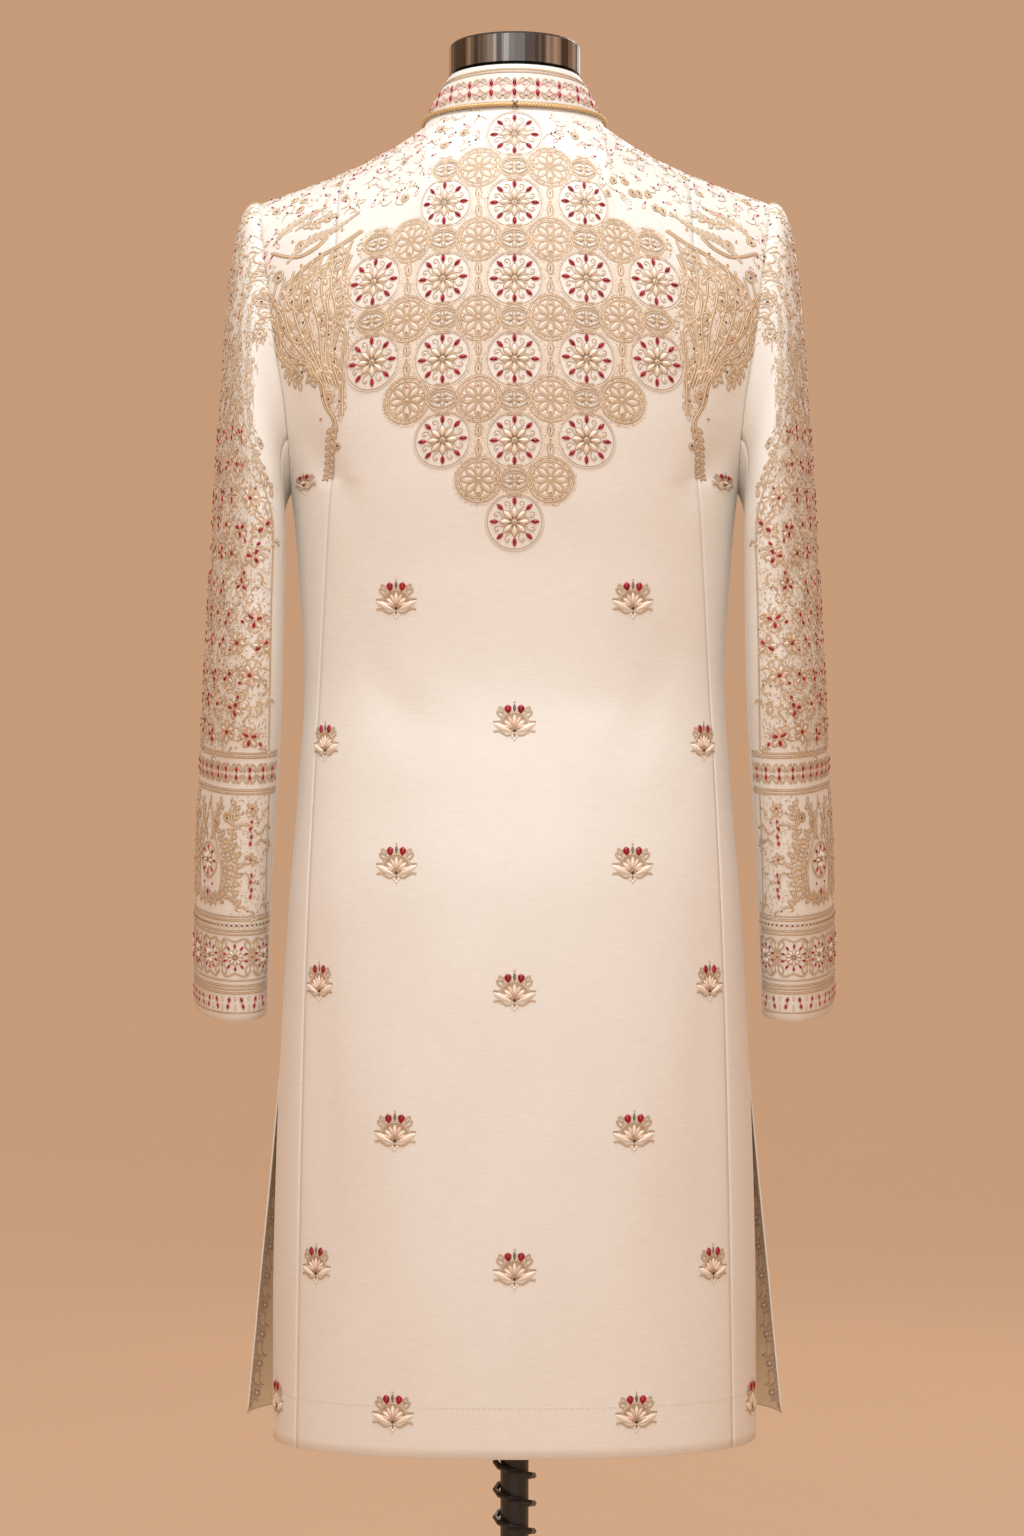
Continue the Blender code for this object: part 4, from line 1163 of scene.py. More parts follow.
def roundel(work, at, tail=0.0):
    """A round of leaves in a double ring, with small beads above and below its middle."""
    work.ring("zari", at, 15.0, 1.0)
    work.ring("zari", at, 18.0, 1.1)
    for k in range(8):
        angle = k * pi / 4
        work.petal_line("zari", at, angle, 2.0, 12.0, 5.6, 0.8, 1.3)
        work.petal("pale_fill", at, angle, 3.0, 9.6, 2.6, 0.5, 1.3)
        work.petal("edge", at, angle + pi / 8, 3.0, 7.4, 1.7, 0.35, 1.4)
        work.petal("pearl", at, angle + pi / 8, 10.6, 3.4, 2.2, 0.7, 1.0)
    for k in range(16):
        angle = k * pi / 8 + 0.1
        work.dot("edge", (at[0] + 16.5 * sin(angle), at[1] + 16.5 * cos(angle)), 0.7, 0.5)
    for side in (-1, 1):
        place = (at[0], at[1] + side * 10.6)
        work.dot("zari", place, 2.1, 0.8)
        work.dot("red" if side > 0 else "dark", place, 1.25, 1.5)
    work.dot("zari", at, 1.9, 0.9)
    work.dot("dark", at, 1.0, 1.2)
    if tail:
        below = moved([(0, -17), (0.8, -25), (0, -17 - tail)], at)
        spray(work, below, 6.0, 5.0, 2.6)
        work.petal("red", at, pi, 17.5 + tail, 4.0, 2.0, 1.0, 1.0)


def between(work, at):
    """The upright leaf that fills the waist between two rosettes."""
    for way in (pi, 0):
        work.petal_line("zari", at, way, 2.4, 11.5, 5.0, 0.8, 0.9)
        work.petal("shade", at, way, 4.0, 7.0, 1.4, 0.35, 1.0)
    work.dot("zari", at, 1.6, 0.6)
    work.dot("dark", at, 0.9, 1.1)


def spray(work, points, spacing=8.0, length=8.0, width=3.6, fill="fill"):
    """A stem with leaves to both sides in turn."""
    path = curve(points)
    work.thread("zari", path, 1.0)
    run = np.concatenate([[0], np.cumsum(np.hypot(*np.diff(path, axis=0).T))])
    side = 1
    for place in np.arange(spacing * 0.5, run[-1], spacing / 2):
        at = (np.interp(place, run, path[:, 0]), np.interp(place, run, path[:, 1]))
        ahead = (np.interp(place + 1, run, path[:, 0]), np.interp(place + 1, run, path[:, 1]))
        angle = np.arctan2(ahead[0] - at[0], ahead[1] - at[1]) + side * 0.80
        work.petal_line("zari", at, angle, 0.3, length, width, 0.7, 1.0)
        work.petal(fill, at, angle, 0.8, length - 1.4, width - 1.2, 0.4, 1.0)
        side = -side


def spiral(work, at, radius, angle, hand=1, bead="dark"):
    """A curl of thread that winds in to a bead."""
    t = np.linspace(0, 1, 26)
    reach = radius * (1 - 0.80 * t)
    turn = angle + hand * 3 * pi * t
    path = np.stack([at[0] + reach * np.sin(turn), at[1] + reach * np.cos(turn)], axis=-1)
    work.thread("zari", path, 1.1, 0.6)
    work.dot(bead, at, 1.1, 1.2)


def feather(work, points, barb=9.0):
    """A curved plume: a stem with fine slanting stitches that shorten to its tip."""
    path = curve(points, 1.6)
    work.thread("zari", path, 1.3, 0.6)
    count = len(path)
    for k in range(1, count - 1, 1):
        ahead = path[k + 1] - path[k - 1]
        heading = np.arctan2(ahead[0], ahead[1])
        reach = barb * (1 - (k / count) ** 2) * (0.35 + 0.65 * min(1.0, 4 * k / count))
        for side in (-0.75, 0.75):
            end = path[k] + reach * np.array([sin(heading + side), cos(heading + side)])
            work.line("fill" if k % 3 else "zari", path[k], end, 0.8, 0.35, 3.0)


def booti(work, at, size=1.0, narrow=1.0):
    """The lotus sprig: two red drops over a fan, between two padded leaves."""
    slim = size * narrow

    def place(x, y):
        return (at[0] + x * slim, at[1] + y * size)

    def drawn(points):
        return np.array([place(*p) for p in points])

    for side in (-1, 1):
        lean = side * 0.20
        work.petal_line("pink", place(side * 4.1, 3.6), lean, 0, 8.4 * size, 6.4 * slim, 0.6, 1.5)
        work.petal("red", place(side * 4.3, 3.8), lean, 0, 8.2 * size, 5.6 * slim, 1.8, 1.5)
        work.petal("edge", place(side * 0.8, -10.2), side * 1.08, 0, 18.6 * slim, 7.0 * size, 0.3, 1.2)
        work.petal("pearl", place(side * 1.6, -10.5), side * 1.11, 0, 17.3 * slim, 5.3 * size, 1.5, 1.2)
        work.petal_line("zari", place(side * 7.2, 1.6), side * 0.95, 0, 8.2 * slim, 3.8 * size, 0.8, 1.2)
        work.petal_line("zari", place(side * 8.6, 5.2), side * 0.62, 0, 6.0 * slim, 3.0 * size, 0.7, 1.2)
        under = moved(curve([(1.2, -12.0), (6.5, -12.8), (12.0, -9.4), (16.5, -9.8)]), flip=side)
        work.thread("zari", drawn(under), 0.8)
        work.dot("pearl", place(side * 1.8, -13.8), 1.4 * size, 1.0)
    work.dome("edge", drawn(moved(np.vstack([arc(10.6, -1.5, 3.0), [(0.0, -4.0)]]), (0, -6.4))), 0.25)
    for k in range(-3, 4):
        angle = k * 0.44
        work.petal("petal_pink" if k % 2 else "pearl", place(0, -7.5), angle * narrow,
                   1.2, (10.2 - abs(k) * 0.5) * size, 3.3 * size * narrow, 1.1, 1.6)
    work.thread("zari", drawn(moved(arc(12.0, -1.6, 3.2), (0, -6.4))), 1.0, 0.7)
    work.petal("green", place(0, 6.0), 0, 0, 6.8 * size, 2.6 * size * narrow, 1.2, 1.0)
    work.dot("zari", place(0, 14.4), 1.1, 0.8)
    work.dot("dark", place(0, -8.8), 1.4 * size, 1.3)
    work.dot("pearl", place(0, -15.8), 1.5 * size, 1.0)
    work.petal("shade", place(0, -10.5), pi, 0, 3.8, 1.8, 0.5, 1.0)


def floret(work, at, size, angle, centre="red", petals=5, beads=1):
    """A small open flower with a bead or a few in its middle."""
    for k in range(petals):
        turn = angle + k * 2 * pi / petals
        work.petal_line("zari", at, turn, 1.2 * size, 5.4 * size, 3.4 * size, 0.7, 1.3)
        work.petal("pearl" if k % 2 else "petal_pink", at, turn, 1.6 * size, 4.2 * size, 2.0 * size, 0.6, 1.3)
    if beads == 1:
        work.dot(centre, at, 1.4 * size, 1.3)
        return
    for k in range(beads):
        turn = angle + k * 2 * pi / beads
        work.petal_line("pink", at, turn, 0.8, 4.9 * size, 3.3 * size, 0.6, 1.0)
        work.petal(centre, at, turn, 1.2, 4.2 * size, 2.6 * size, 1.3, 1.0)


def bead_pair(work, at, lean=0.0, size=1.0):
    """Two red beads end to end with a pink loop round each."""
    for side in (0, pi):
        work.petal_line("pink", at, lean + side, 0.2, 5.4 * size, 3.4 * size, 0.6, 1.0)
        work.petal("red", at, lean + side, 0.8, 4.2 * size, 2.2 * size, 1.2, 1.0)


# ---------------------------------------------------------------- the back's embroidery
COLUMN_PITCH = 57.0
ROW_PITCH = 64.3
FIRST_ROW = 737.0
ROW_COLUMNS = (0, 1, 2, 2, 1, 0)      # columns each side of the middle, row by row going up
EYE_COLUMNS = (0, 1, 2, 2, 1)
ROUNDEL_COLUMNS = (1, 2, 2, 2, 1)


def row_rise(across):
    """How much higher along its own column a row of the lattice lies, away from the middle."""
    return 3.4 * (np.abs(across) / COLUMN_PITCH) ** 1.3


def lattice_places():
    rosettes, eyes, roundels, waists = [], [], [], []
    for row, reach in enumerate(ROW_COLUMNS):
        along = FIRST_ROW + row * ROW_PITCH
        rosettes += [(k * COLUMN_PITCH, along) for k in range(-reach, reach + 1)]
        waists += [((k + 0.5) * COLUMN_PITCH, along) for k in range(-reach, reach)]
    for row in range(len(EYE_COLUMNS)):
        along = FIRST_ROW + (row + 0.5) * ROW_PITCH
        eyes += [(k * COLUMN_PITCH, along) for k in range(-EYE_COLUMNS[row], EYE_COLUMNS[row] + 1)]
        reach = ROUNDEL_COLUMNS[row]
        roundels += [((k + 0.5) * COLUMN_PITCH, along) for k in range(-reach, reach)]
    return [[(a, l + float(row_rise(a))) for a, l in group] for group in (rosettes, eyes, roundels, waists)]


def lattice(work):
    """The yoke: rows of rosettes, with eyes and roundels between them on a laid ground."""
    rosettes, eyes, roundels, waists = lattice_places()
    for at in rosettes:
        rosette(work, at)
    for at in eyes:
        eye(work, at)
    for at in roundels:
        lowest = abs(at[0]) > (at[1] - FIRST_ROW) * COLUMN_PITCH / ROW_PITCH * 0.98 and at[1] < 850
        roundel(work, at, 22.0 if lowest else 0.0)
    for at in waists:
        between(work, at)

    def ground(across, along):
        def near(group, radius, squash=1.0):
            hit = np.zeros_like(across, bool)
            for a, l in group:
                hit |= (across - a) ** 2 + ((along - l) * squash) ** 2 < radius**2
            return hit
        filled = near(roundels, 20.8) | near(eyes, 19.5, 1.35) | near(waists, 10.5, 0.55)
        filled &= ~near(rosettes, 20.2)
        return filled & ~near(eyes, 12.4, 1.62)

    low = FIRST_ROW - 10
    pale_from = FIRST_ROW + 4.1 * ROW_PITCH
    work.hatch("fill", ground, (-130, low, 130, pale_from), 2.2)
    work.hatch("pale_fill", ground, (-130, pale_from, 130, 1085), 2.2)

    def loose(across, along):
        hit = ground(across, along)
        for a, l in roundels:
            hit &= (across - a) ** 2 + (along - l) ** 2 > 15.0**2
        return hit

    work.seeds(("deep_fill", "pearl", "pale_fill"), loose, (-140, low, 140, pale_from), 2.9, 21, height=0.35)
    work.seeds(("fill", "pearl", "pale_fill"), loose, (-140, pale_from, 140, 1085), 3.6, 22, height=0.35)


PANEL_BOX = (130, 822, 216, 972)
# outline of the laid ground beside the lattice
PANEL_GROUND = np.array([
    (140, 955), (158, 960), (184, 952), (203, 934), (204, 915), (190, 905),
    (174, 884), (158, 866), (149, 838), (141, 830), (138, 860), (136, 905),
])
PANEL_FEATHERS = (
    # points, length of the barbs
    ([(196, 972), (180, 986), (158, 992), (138, 1004)], 7.0),
    ([(214, 992), (205, 1004), (190, 1012), (172, 1018)], 6.0),
    ([(163, 868), (153, 884), (147, 900), (148, 918)], 6.5),
    ([(190, 884), (178, 893), (170, 906), (170, 920)], 6.0),
)
PANEL_SCROLLS = (
    [(130, 985), (146, 976), (166, 968), (184, 956), (190, 940), (180, 930), (168, 934)],
    [(222, 990), (220, 966), (208, 950), (196, 930), (188, 912), (176, 902), (166, 908)],
    [(136, 965), (142, 948), (152, 934), (150, 918), (140, 908)],
    [(176, 898), (168, 882), (158, 866), (154, 848), (146, 832), (148, 818)],
    [(134, 902), (137, 880), (139, 858), (140, 836)],
    [(212, 985), (198, 978), (184, 974), (170, 978), (162, 986)],
    [(208, 930), (198, 916), (196, 900), (186, 890), (176, 876)],
    [(160, 950), (168, 956), (176, 950), (174, 942), (166, 942)],
)
PANEL_CURLS = (
    # place, radius, angle, hand, bead
    ((171, 934), 8.4, 2.2, 1, "dark"), ((157, 915), 6.4, 0.4, -1, "dark"),
    ((193, 920), 6.6, 4.4, 1, "dark"), ((152, 852), 5.4, 1.0, -1, "red"),
    ((186, 984), 5.4, 3.2, -1, "dark"), ((146, 880), 5.6, 2.0, 1, "dark"),
    ((180, 906), 5.0, 0.9, 1, "red"), ((202, 962), 5.8, 1.6, -1, "dark"),
    ((150, 966), 5.0, 5.0, 1, "dark"), ((146, 812), 3.6, 1.0, 1, "dark"),
    ((164, 886), 4.8, 3.0, -1, "dark"), ((188, 948), 5.0, 0.5, 1, "dark"),
)
PANEL_SPRAYS = (
    [(206, 950), (214, 936), (212, 920), (202, 908)],
    [(146, 976), (152, 962), (164, 954), (178, 952)],
    [(184, 905), (192, 893), (188, 880), (178, 872)],
    [(138, 948), (140, 934), (137, 920), (142, 908)],
    [(172, 892), (166, 880), (168, 868)],
    [(222, 968), (226, 952), (222, 936), (214, 926)],
    [(196, 1000), (186, 1004), (176, 1002), (164, 1008)],
    [(147, 834), (152, 818), (155, 803), (158, 780)],
)
PANEL_RED_BEADS = (
    (139, 930), (163, 900), (181, 966), (203, 945), (156, 874),
    (141, 870), (160, 838), (212, 975), (150, 990), (195, 990),
)
PANEL_DARK_BEADS = (
    (150, 902), (186, 938), (199, 934), (174, 918), (145, 890),
    (158, 856), (142, 848), (166, 972), (216, 958), (176, 880),
)


def panel_ground(work):
    """Laid thread and loose stitches within the ground's frayed outline."""
    centre = PANEL_GROUND.mean(axis=0)
    turns = np.arctan2(PANEL_GROUND[:, 0] - centre[0], PANEL_GROUND[:, 1] - centre[1])
    reaches = np.hypot(*(PANEL_GROUND - centre).T)
    order = np.argsort(turns)

    def inside(across, along):
        turn = np.arctan2(across - centre[0], along - centre[1])
        reach = np.interp(turn, turns[order], reaches[order], period=2 * pi)
        frayed = 1 + 0.07 * np.sin(9 * turn)
        return np.hypot(across - centre[0], along - centre[1]) < reach * frayed

    work.hatch("fill", inside, PANEL_BOX, 2.2)
    work.seeds(("deep_fill", "edge", "pearl"), inside, PANEL_BOX, 3.4, 23, 4.6, 1.1, 0.3)


def panel_plumes(work):
    """Leafy plumes that hang from the shoulder and bend in under the arm."""
    for k in range(9):
        top = 138 + 8.2 * k
        foot = 140 + 3.2 * k
        sweep = curve([(top, 978 - 2.5 * k), (top + 5, 950 - 3 * k), (top - 1 - 0.8 * k, 920 - 3 * k),
                       (foot + 7, 885), (foot + 1, 858 + 2 * k)])
        work.thread("zari", sweep, 1.3, 0.9)
        for share in np.arange(0.06 + 0.03 * (k % 3), 0.95, 0.11):
            root = sweep[int(share * (len(sweep) - 1))]
            lean = 2.3 if int(share * 30) % 2 else -2.5
            work.petal_line("zari", root, lean, 0.4, 7.4, 3.2, 0.7, 1.3)
            work.petal("pearl", root, lean, 1.0, 5.6, 1.7, 0.6, 1.3)


def side_panel(work):
    """The scrolls, plumes and leaves beside the lattice, on the +across side."""
    panel_ground(work)
    panel_plumes(work)
    for points, barb in PANEL_FEATHERS:
        feather(work, points, barb)
    for points in PANEL_SCROLLS:
        path = curve(points)
        work.thread("zari", path, 1.3, 0.9)
        work.thread("zari", path + [2.4, 1.0], 0.9, 0.6)
    for curl in PANEL_CURLS:
        spiral(work, *curl)
    for points in PANEL_SPRAYS:
        spray(work, points, 6.6, 6.8, 3.4)
    work.petal_line("red_line", (146, 944), -0.35, 0, 13.0, 6.4, 0.8, 1.4)
    work.petal("pearl", (146, 945), -0.35, 0.5, 9.0, 3.4, 0.9, 1.4)
    for at in PANEL_RED_BEADS:
        work.dot("zari", at, 2.0, 0.7)
        work.dot("red", at, 1.3, 1.4)
    for at in PANEL_DARK_BEADS:
        work.dot("dark", at, 1.15, 1.2)
    work.petal("red", (158, 778), pi, 0, 4.5, 2.2, 1.1, 1.0)


HEM_STITCH = 40.0            # height of the hem's row of stitches above its edge
SCATTER_HOOK = ((-5, -2), (-1, 2.4), (4, 1.0), (6, -2.4))


def shoulder_scatter(work, seed, top, clear_of=()):
    """Small curls, leaves and beads strewn over the shoulder."""
    rng = np.random.default_rng(seed)
    for along in np.arange(966, top, 10.0):
        for across in np.arange(30, 250, 10.5):
            at = (across + rng.uniform(-3.5, 3.5), along + rng.uniform(-3.0, 3.0))
            kind = rng.integers(0, 7)
            turn = rng.uniform(0, 2 * pi)
            if any(hypot(at[0] - a, at[1] - l) < reach for a, l, reach in clear_of):
                continue
            if at[1] < 1000 and at[0] < 205:
                continue
            if kind == 0:
                work.petal("red", at, turn, 0, 3.4, 1.9, 1.2, 1.0)
                work.petal_line("pink", at, turn, 1.8, 5.0, 2.6, 0.6, 1.0)
            elif kind == 1:
                work.dot("dark", at, 1.05, 1.0)
                work.petal_line("pink", at, turn, 1.6, 6.0, 3.0, 0.6, 1.2)
            elif kind == 2:
                spiral(work, at, 3.8, turn, 1, "dark")
            elif kind == 3:
                work.thread("deep_fill", moved(curve(SCATTER_HOOK), at, turn), 0.8)
                work.dot("red", (at[0] + 2, at[1] + 4), 1.1, 1.1)
            else:
                work.twig(at, turn, 0.8, 1 if kind < 6 else -1, rng, "deep_fill", "fill")


BOOTI_ROWS = (
    # along, places across, how narrow
    (37, (96,), 1.0),
    (149, (0,), 1.0), (149, (165,), 0.85),
    (256, (94,), 1.0),
    (366, (0,), 1.0), (372, (165,), 0.85),
    (466, (94,), 1.0),
    (580, (0,), 1.0), (565, (161,), 0.85),
    (678, (95,), 1.0), (780, (186,), 1.0),
)


def back_embroidery():
    """The yoke, the panels beside it, and the sprigs down the skirt."""
    work = Pattern()
    lattice(work)
    rosettes, eyes, roundels, waists = lattice_places()
    clear_of = [(*at, 25.0) for at in rosettes] + [(*at, 20.0) for at in eyes + roundels]
    for work.flip in (1, -1):
        side_panel(work)
        shoulder_scatter(work, 5 if work.flip > 0 else 6, 1096, clear_of)
        for along, places, narrow in BOOTI_ROWS:
            for across in places:
                if across or work.flip > 0:
                    booti(work, (across, along), 1.0, narrow)
        booti(work, (222, 37), 1.0, 0.85)
        for across in np.arange(1.5, 262, 4.2):
            work.line("pale_fill", (across, HEM_STITCH), (across + 2.6, HEM_STITCH), 0.5, 0.15)
    return work


FRONT_BOOTIS = (
    # across, along
    (100, 37), (180, 140), (100, 240), (180, 345), (100, 450), (165, 560), (95, 670), (165, 790), (90, 880),
)


def front_embroidery():
    """Sprigs down each front, and the shoulder's scatter."""
    work = Pattern()
    for work.flip in (1, -1):
        shoulder_scatter(work, 7, 1100)
        for at in FRONT_BOOTIS:
            booti(work, at)
    return work


# ---------------------------------------------------------------- the sleeve's embroidery
SLEEVE_PLAIN_FROM = 99.0     # the mesh stops here, short of the back and front seams
CUFF_REACH = 116.0           # the bands run past the seams, where the sleeve ends them


CUFF_LINES = (
    # along, thickness
    (7, 0.7), (23.5, 1.0), (26.5, 0.8), (29.5, 1.0), (34, 0.7), (72, 0.8), (75, 1.0),
    (84, 1.0), (87, 0.7), (188, 0.8), (191, 1.1), (218, 1.1), (221, 0.8),
)
CUFF_BRACKET = ((0, 13), (9, 15.5), (14.2, 9), (12, 2), (14.2, -6), (9, -15.5), (0, -13))


def leaf_pairs(work, at, leans, start, length, width, thick=0.6, finish="zari"):
    """Outlined leaves at each lean, and the same upside down."""
    for lean in leans:
        work.petal_line(finish, at, lean, start, length, width, thick)
        work.petal_line(finish, at, pi + lean, start, length, width, thick)


def cuff_bands(work):
    """Fine lines round the sleeve, with beads, rosettes and leaves between them."""
    for along, thick in CUFF_LINES:
        work.line("zari", (-CUFF_REACH, along), (CUFF_REACH, along), thick)
    for k, across in enumerate(np.arange(-108, 110, 11.4)):
        bead_pair(work, (across, 15), 0.22 if k % 2 else -0.22)
        work.dot("pearl", (across + 5.7, 15), 1.2)
        leaf_pairs(work, (across + 5.7, 15), (0,), 1.6, 4.4, 2.4)
    for across in np.arange(-114, 115, 4.4):
        work.dot("dark" if int(across) % 3 else "red", (across, 79.5), 0.95, 1.0)
        work.petal_line("zari", (across + 2.2, 79.5), 0.3, -2.2, 4.4, 2.0, 0.6, 1.0)
    for k, across in enumerate(np.arange(-97, 99, 27.7)):
        at = (across, 53)
        rosette(work, at, 0.58, 10, rings=False)
        for side in (-1, 1):
            work.thread("zari", moved(curve(CUFF_BRACKET), at, 0, 1, side), 0.8)
        mid = (across + 14.25, 53)
        floret(work, mid, 0.62, 0.3 * k, "red")
        leaf_pairs(work, mid, (0.35, -0.35), 5.0, 9.5, 4.6, 0.7)
        for way in (0.0, pi):
            work.petal("pearl", mid, way, 6.0, 6.5, 2.6, 0.7)
    for across in np.arange(-104.4, 106, 11.6):
        bead_pair(work, (across, 204.5), 0.0, 1.15)
        leaf_pairs(work, (across + 5.8, 204.5), (0.5, -0.5), 1.0, 8.0, 3.0, 0.7)
        work.dot("pearl", (across + 5.8, 204.5), 1.2)
    for across in (-102, 102):
        work.line("zari", (across, 88), (across, 188), 0.9)


VASE_SIDE = ((4, 94), (17, 104), (21, 124), (15, 142), (9, 156), (3, 172), (0, 184))
VASE_SPRAYS = (
    # points from the vase's middle line, spacing, length, width
    ([(0, 96), (8, 103), (16, 100), (26, 106)], 6, 6, 3),
    ([(22, 108), (27, 124), (24, 142), (18, 158)], 7, 6.5, 3.2),
    ([(3, 148), (10, 158), (12, 170), (20, 180)], 7, 6, 3),
)


def vase_panel(work, middle):
    """A leafy vase with a red rosette at its heart, between two bands."""
    for side in (-1, 1):
        work.thread("zari", moved(curve(VASE_SIDE), (middle, 0), flip=side), 1.2, 0.6)
    rosette(work, (middle, 131), 0.66, 8, rings=False)
    work.ring("zari", (middle, 131), 14.4, 0.8)
    for side in (-1, 1):
        for points, spacing, length, width in VASE_SPRAYS:
            spray(work, moved(points, (middle, 0), flip=side), spacing, length, width)
        spiral(work, (middle + side * 12, 164), 4.6, 1.0, side, "dark")
        spiral(work, (middle + side * 26, 168), 4.8, 2.0, -side, "dark")
        work.dot("red", (middle + side * 8, 112), 1.2)
    for along in (154, 162, 170):
        work.petal("pearl", (middle, along), 0, -3, 6, 3, 0.8)
    work.dot("red", (middle, 177), 1.5)
    work.petal_line("pink", (middle, 104), 0, -4, 8.5, 5, 0.7)
    work.petal("red", (middle, 105), 0, -3, 5.4, 2.6, 1.1, 1.0)


def vase_band(work):
    """The panel of vases above the cuff, with leaves and beads between them."""
    for middle in (-36, 36):
        vase_panel(work, middle)
    for side in (-1, 1):
        for along in (106, 118, 150, 162):
            bead_pair(work, (side * 83, along), 0.15 * side, 0.95)
        floret(work, (side * 83, 134), 0.8, 0.2, "red")
        floret(work, (side * 84, 176), 0.8, 0.5, "red")
        edge_stem = [(72, 92), (68, 110), (72, 130), (67, 150), (70, 182)]
        spray(work, moved(edge_stem, flip=side), 8, 6, 3)
    spray(work, [(0, 92), (1, 112), (-1, 140), (1, 165), (0, 184)], 8, 7, 3.2)

    def inside(across, along):
        return (np.abs(across) < SLEEVE_PLAIN_FROM - 1) & (np.abs(np.abs(across) - 36) > 30)

    work.seeds(("deep_fill", "zari", "pearl"), inside, (-100, 90, 100, 186), 4.0, 33, 4.0, 1.1)
    work.twigs(inside, (-98, 94, 98, 184), 13.0, 35, 0.9)


def floret_mesh(work, rng):
    """The middle of the sleeve: stitches and twigs, a chain of beads, and rows of florets."""
    def inside(across, along):
        edge = np.abs(across) < SLEEVE_PLAIN_FROM - 2 + np.clip(along - 380, 0, 200) * 0.14
        return edge & (along > 224) & (along < 486 - 10 * np.sin(across * 0.16))

    for side in (-1, 1):
        work.line("zari", (side * SLEEVE_PLAIN_FROM, 222), (side * SLEEVE_PLAIN_FROM, 478), 0.9)
    work.seeds(("deep_fill", "zari", "deep_fill", "pearl"), inside, (-116, 224, 116, 500), 3.7, 31, 4.4, 1.2)
    work.twigs(inside, (-112, 228, 112, 500), 10.5, 32, 1.0)
    for k, along in enumerate(np.arange(226, 560, 8.2)):
        work.dot("dark" if k % 3 else "red", (rng.uniform(-5, 5), along), 1.05, 1.1)
        work.petal_line("zari", (0, along + 4), rng.uniform(-0.7, 0.7), -3, 6.5, 2.8, 0.7, 1.0)
    for row, along in enumerate(np.arange(236, 480, 24.0)):
        for column in range(-4, 4):
            across = (column + 0.5) * 25.0 - 6.0 + 12.0 * (row % 2)
            at = (across + rng.uniform(-3.0, 3.0), along + rng.uniform(-3.5, 3.5))
            turn = rng.uniform(0, 1.2)
            if abs(at[0]) > 93:
                continue
            if (row + column) % 3 == 2:
                floret(work, at, 1.45, turn, "red", 6)
            else:
                floret(work, at, 1.35, turn, "red", 5, 2 + (row + column) % 2)
            if (row + column) % 2:
                lean = turn + rng.uniform(0, 2 * pi)
                bead = moved([(0, 10.5)], at, lean)[0]
                work.petal_line("pink", bead, lean + 0.5, -2.4, 4.8, 3.0, 0.6, 1.0)
                work.petal("red", bead, lean + 0.5, -2.0, 4.0, 2.4, 1.2, 1.0)


PAISLEY = ((66, 522), (52, 530), (48, 545), (58, 556), (70, 552), (74, 540), (70, 528), (78, 516), (84, 512))
PAISLEY_HEART = ((66, 528), (56, 534), (54, 545), (60, 551), (67, 547), (69, 538), (66, 530))
SLEEVE_HEAD_SPRAYS = (
    # points, spacing, length, width
    ([(102, 482), (112, 500), (108, 520), (118, 540)], 9, 8, 3.8),
    ([(126, 500), (122, 520), (132, 538)], 9, 7, 3.4),
    ([(106, 545), (114, 562), (108, 580), (116, 600)], 9, 7.5, 3.6),
    ([(98, 470), (106, 462), (104, 446), (110, 430)], 9, 7, 3.4),
    ([(14, 480), (26, 492), (40, 490), (52, 502), (60, 520)], 9, 8, 3.8),
    ([(92, 486), (84, 504), (86, 524), (78, 544), (84, 566)], 10, 8, 3.6),
    ([(22, 520), (34, 536), (36, 556), (26, 572)], 10, 8.5, 4),
    ([(60, 588), (50, 602), (54, 620), (44, 636)], 10, 8, 3.6),
    ([(98, 588), (92, 606), (98, 624)], 9, 7, 3.4),
    ([(128, 566), (138, 586), (132, 606), (142, 626)], 8.5, 8.5, 4.0),
    ([(150, 600), (158, 618), (152, 636), (160, 652)], 8.5, 8, 3.8),
    ([(112, 610), (122, 628), (116, 648), (128, 664)], 8.5, 8, 3.8),
)
SLEEVE_HEAD_CURLS = (
    # place, radius, angle, hand, bead
    ((118, 470), 6.0, 2.0, -1, "red"), ((130, 556), 5.0, 2.0, -1, "dark"),
    ((70, 498), 7.5, 1.0, -1, "dark"), ((38, 512), 5.5, 3.0, 1, "dark"),
    ((44, 584), 5.0, 2.0, 1, "dark"), ((140, 560), 7.0, 2.2, -1, "red"),
    ((120, 588), 6.4, 0.8, 1, "dark"), ((150, 588), 6.0, 1.4, -1, "dark"),
)
SLEEVE_HEAD_PAIRS = (
    (30, 500), (72, 574), (40, 608), (20, 552), (92, 548), (66, 610), (28, 630), (12, 600), (88, 640),
)
SLEEVE_HEAD_BUDS = (
    (58, 574), (14, 536), (76, 590), (36, 590), (22, 612), (60, 640),
    (100, 560), (8, 570), (50, 655), (30, 650), (74, 655), (16, 645),
)


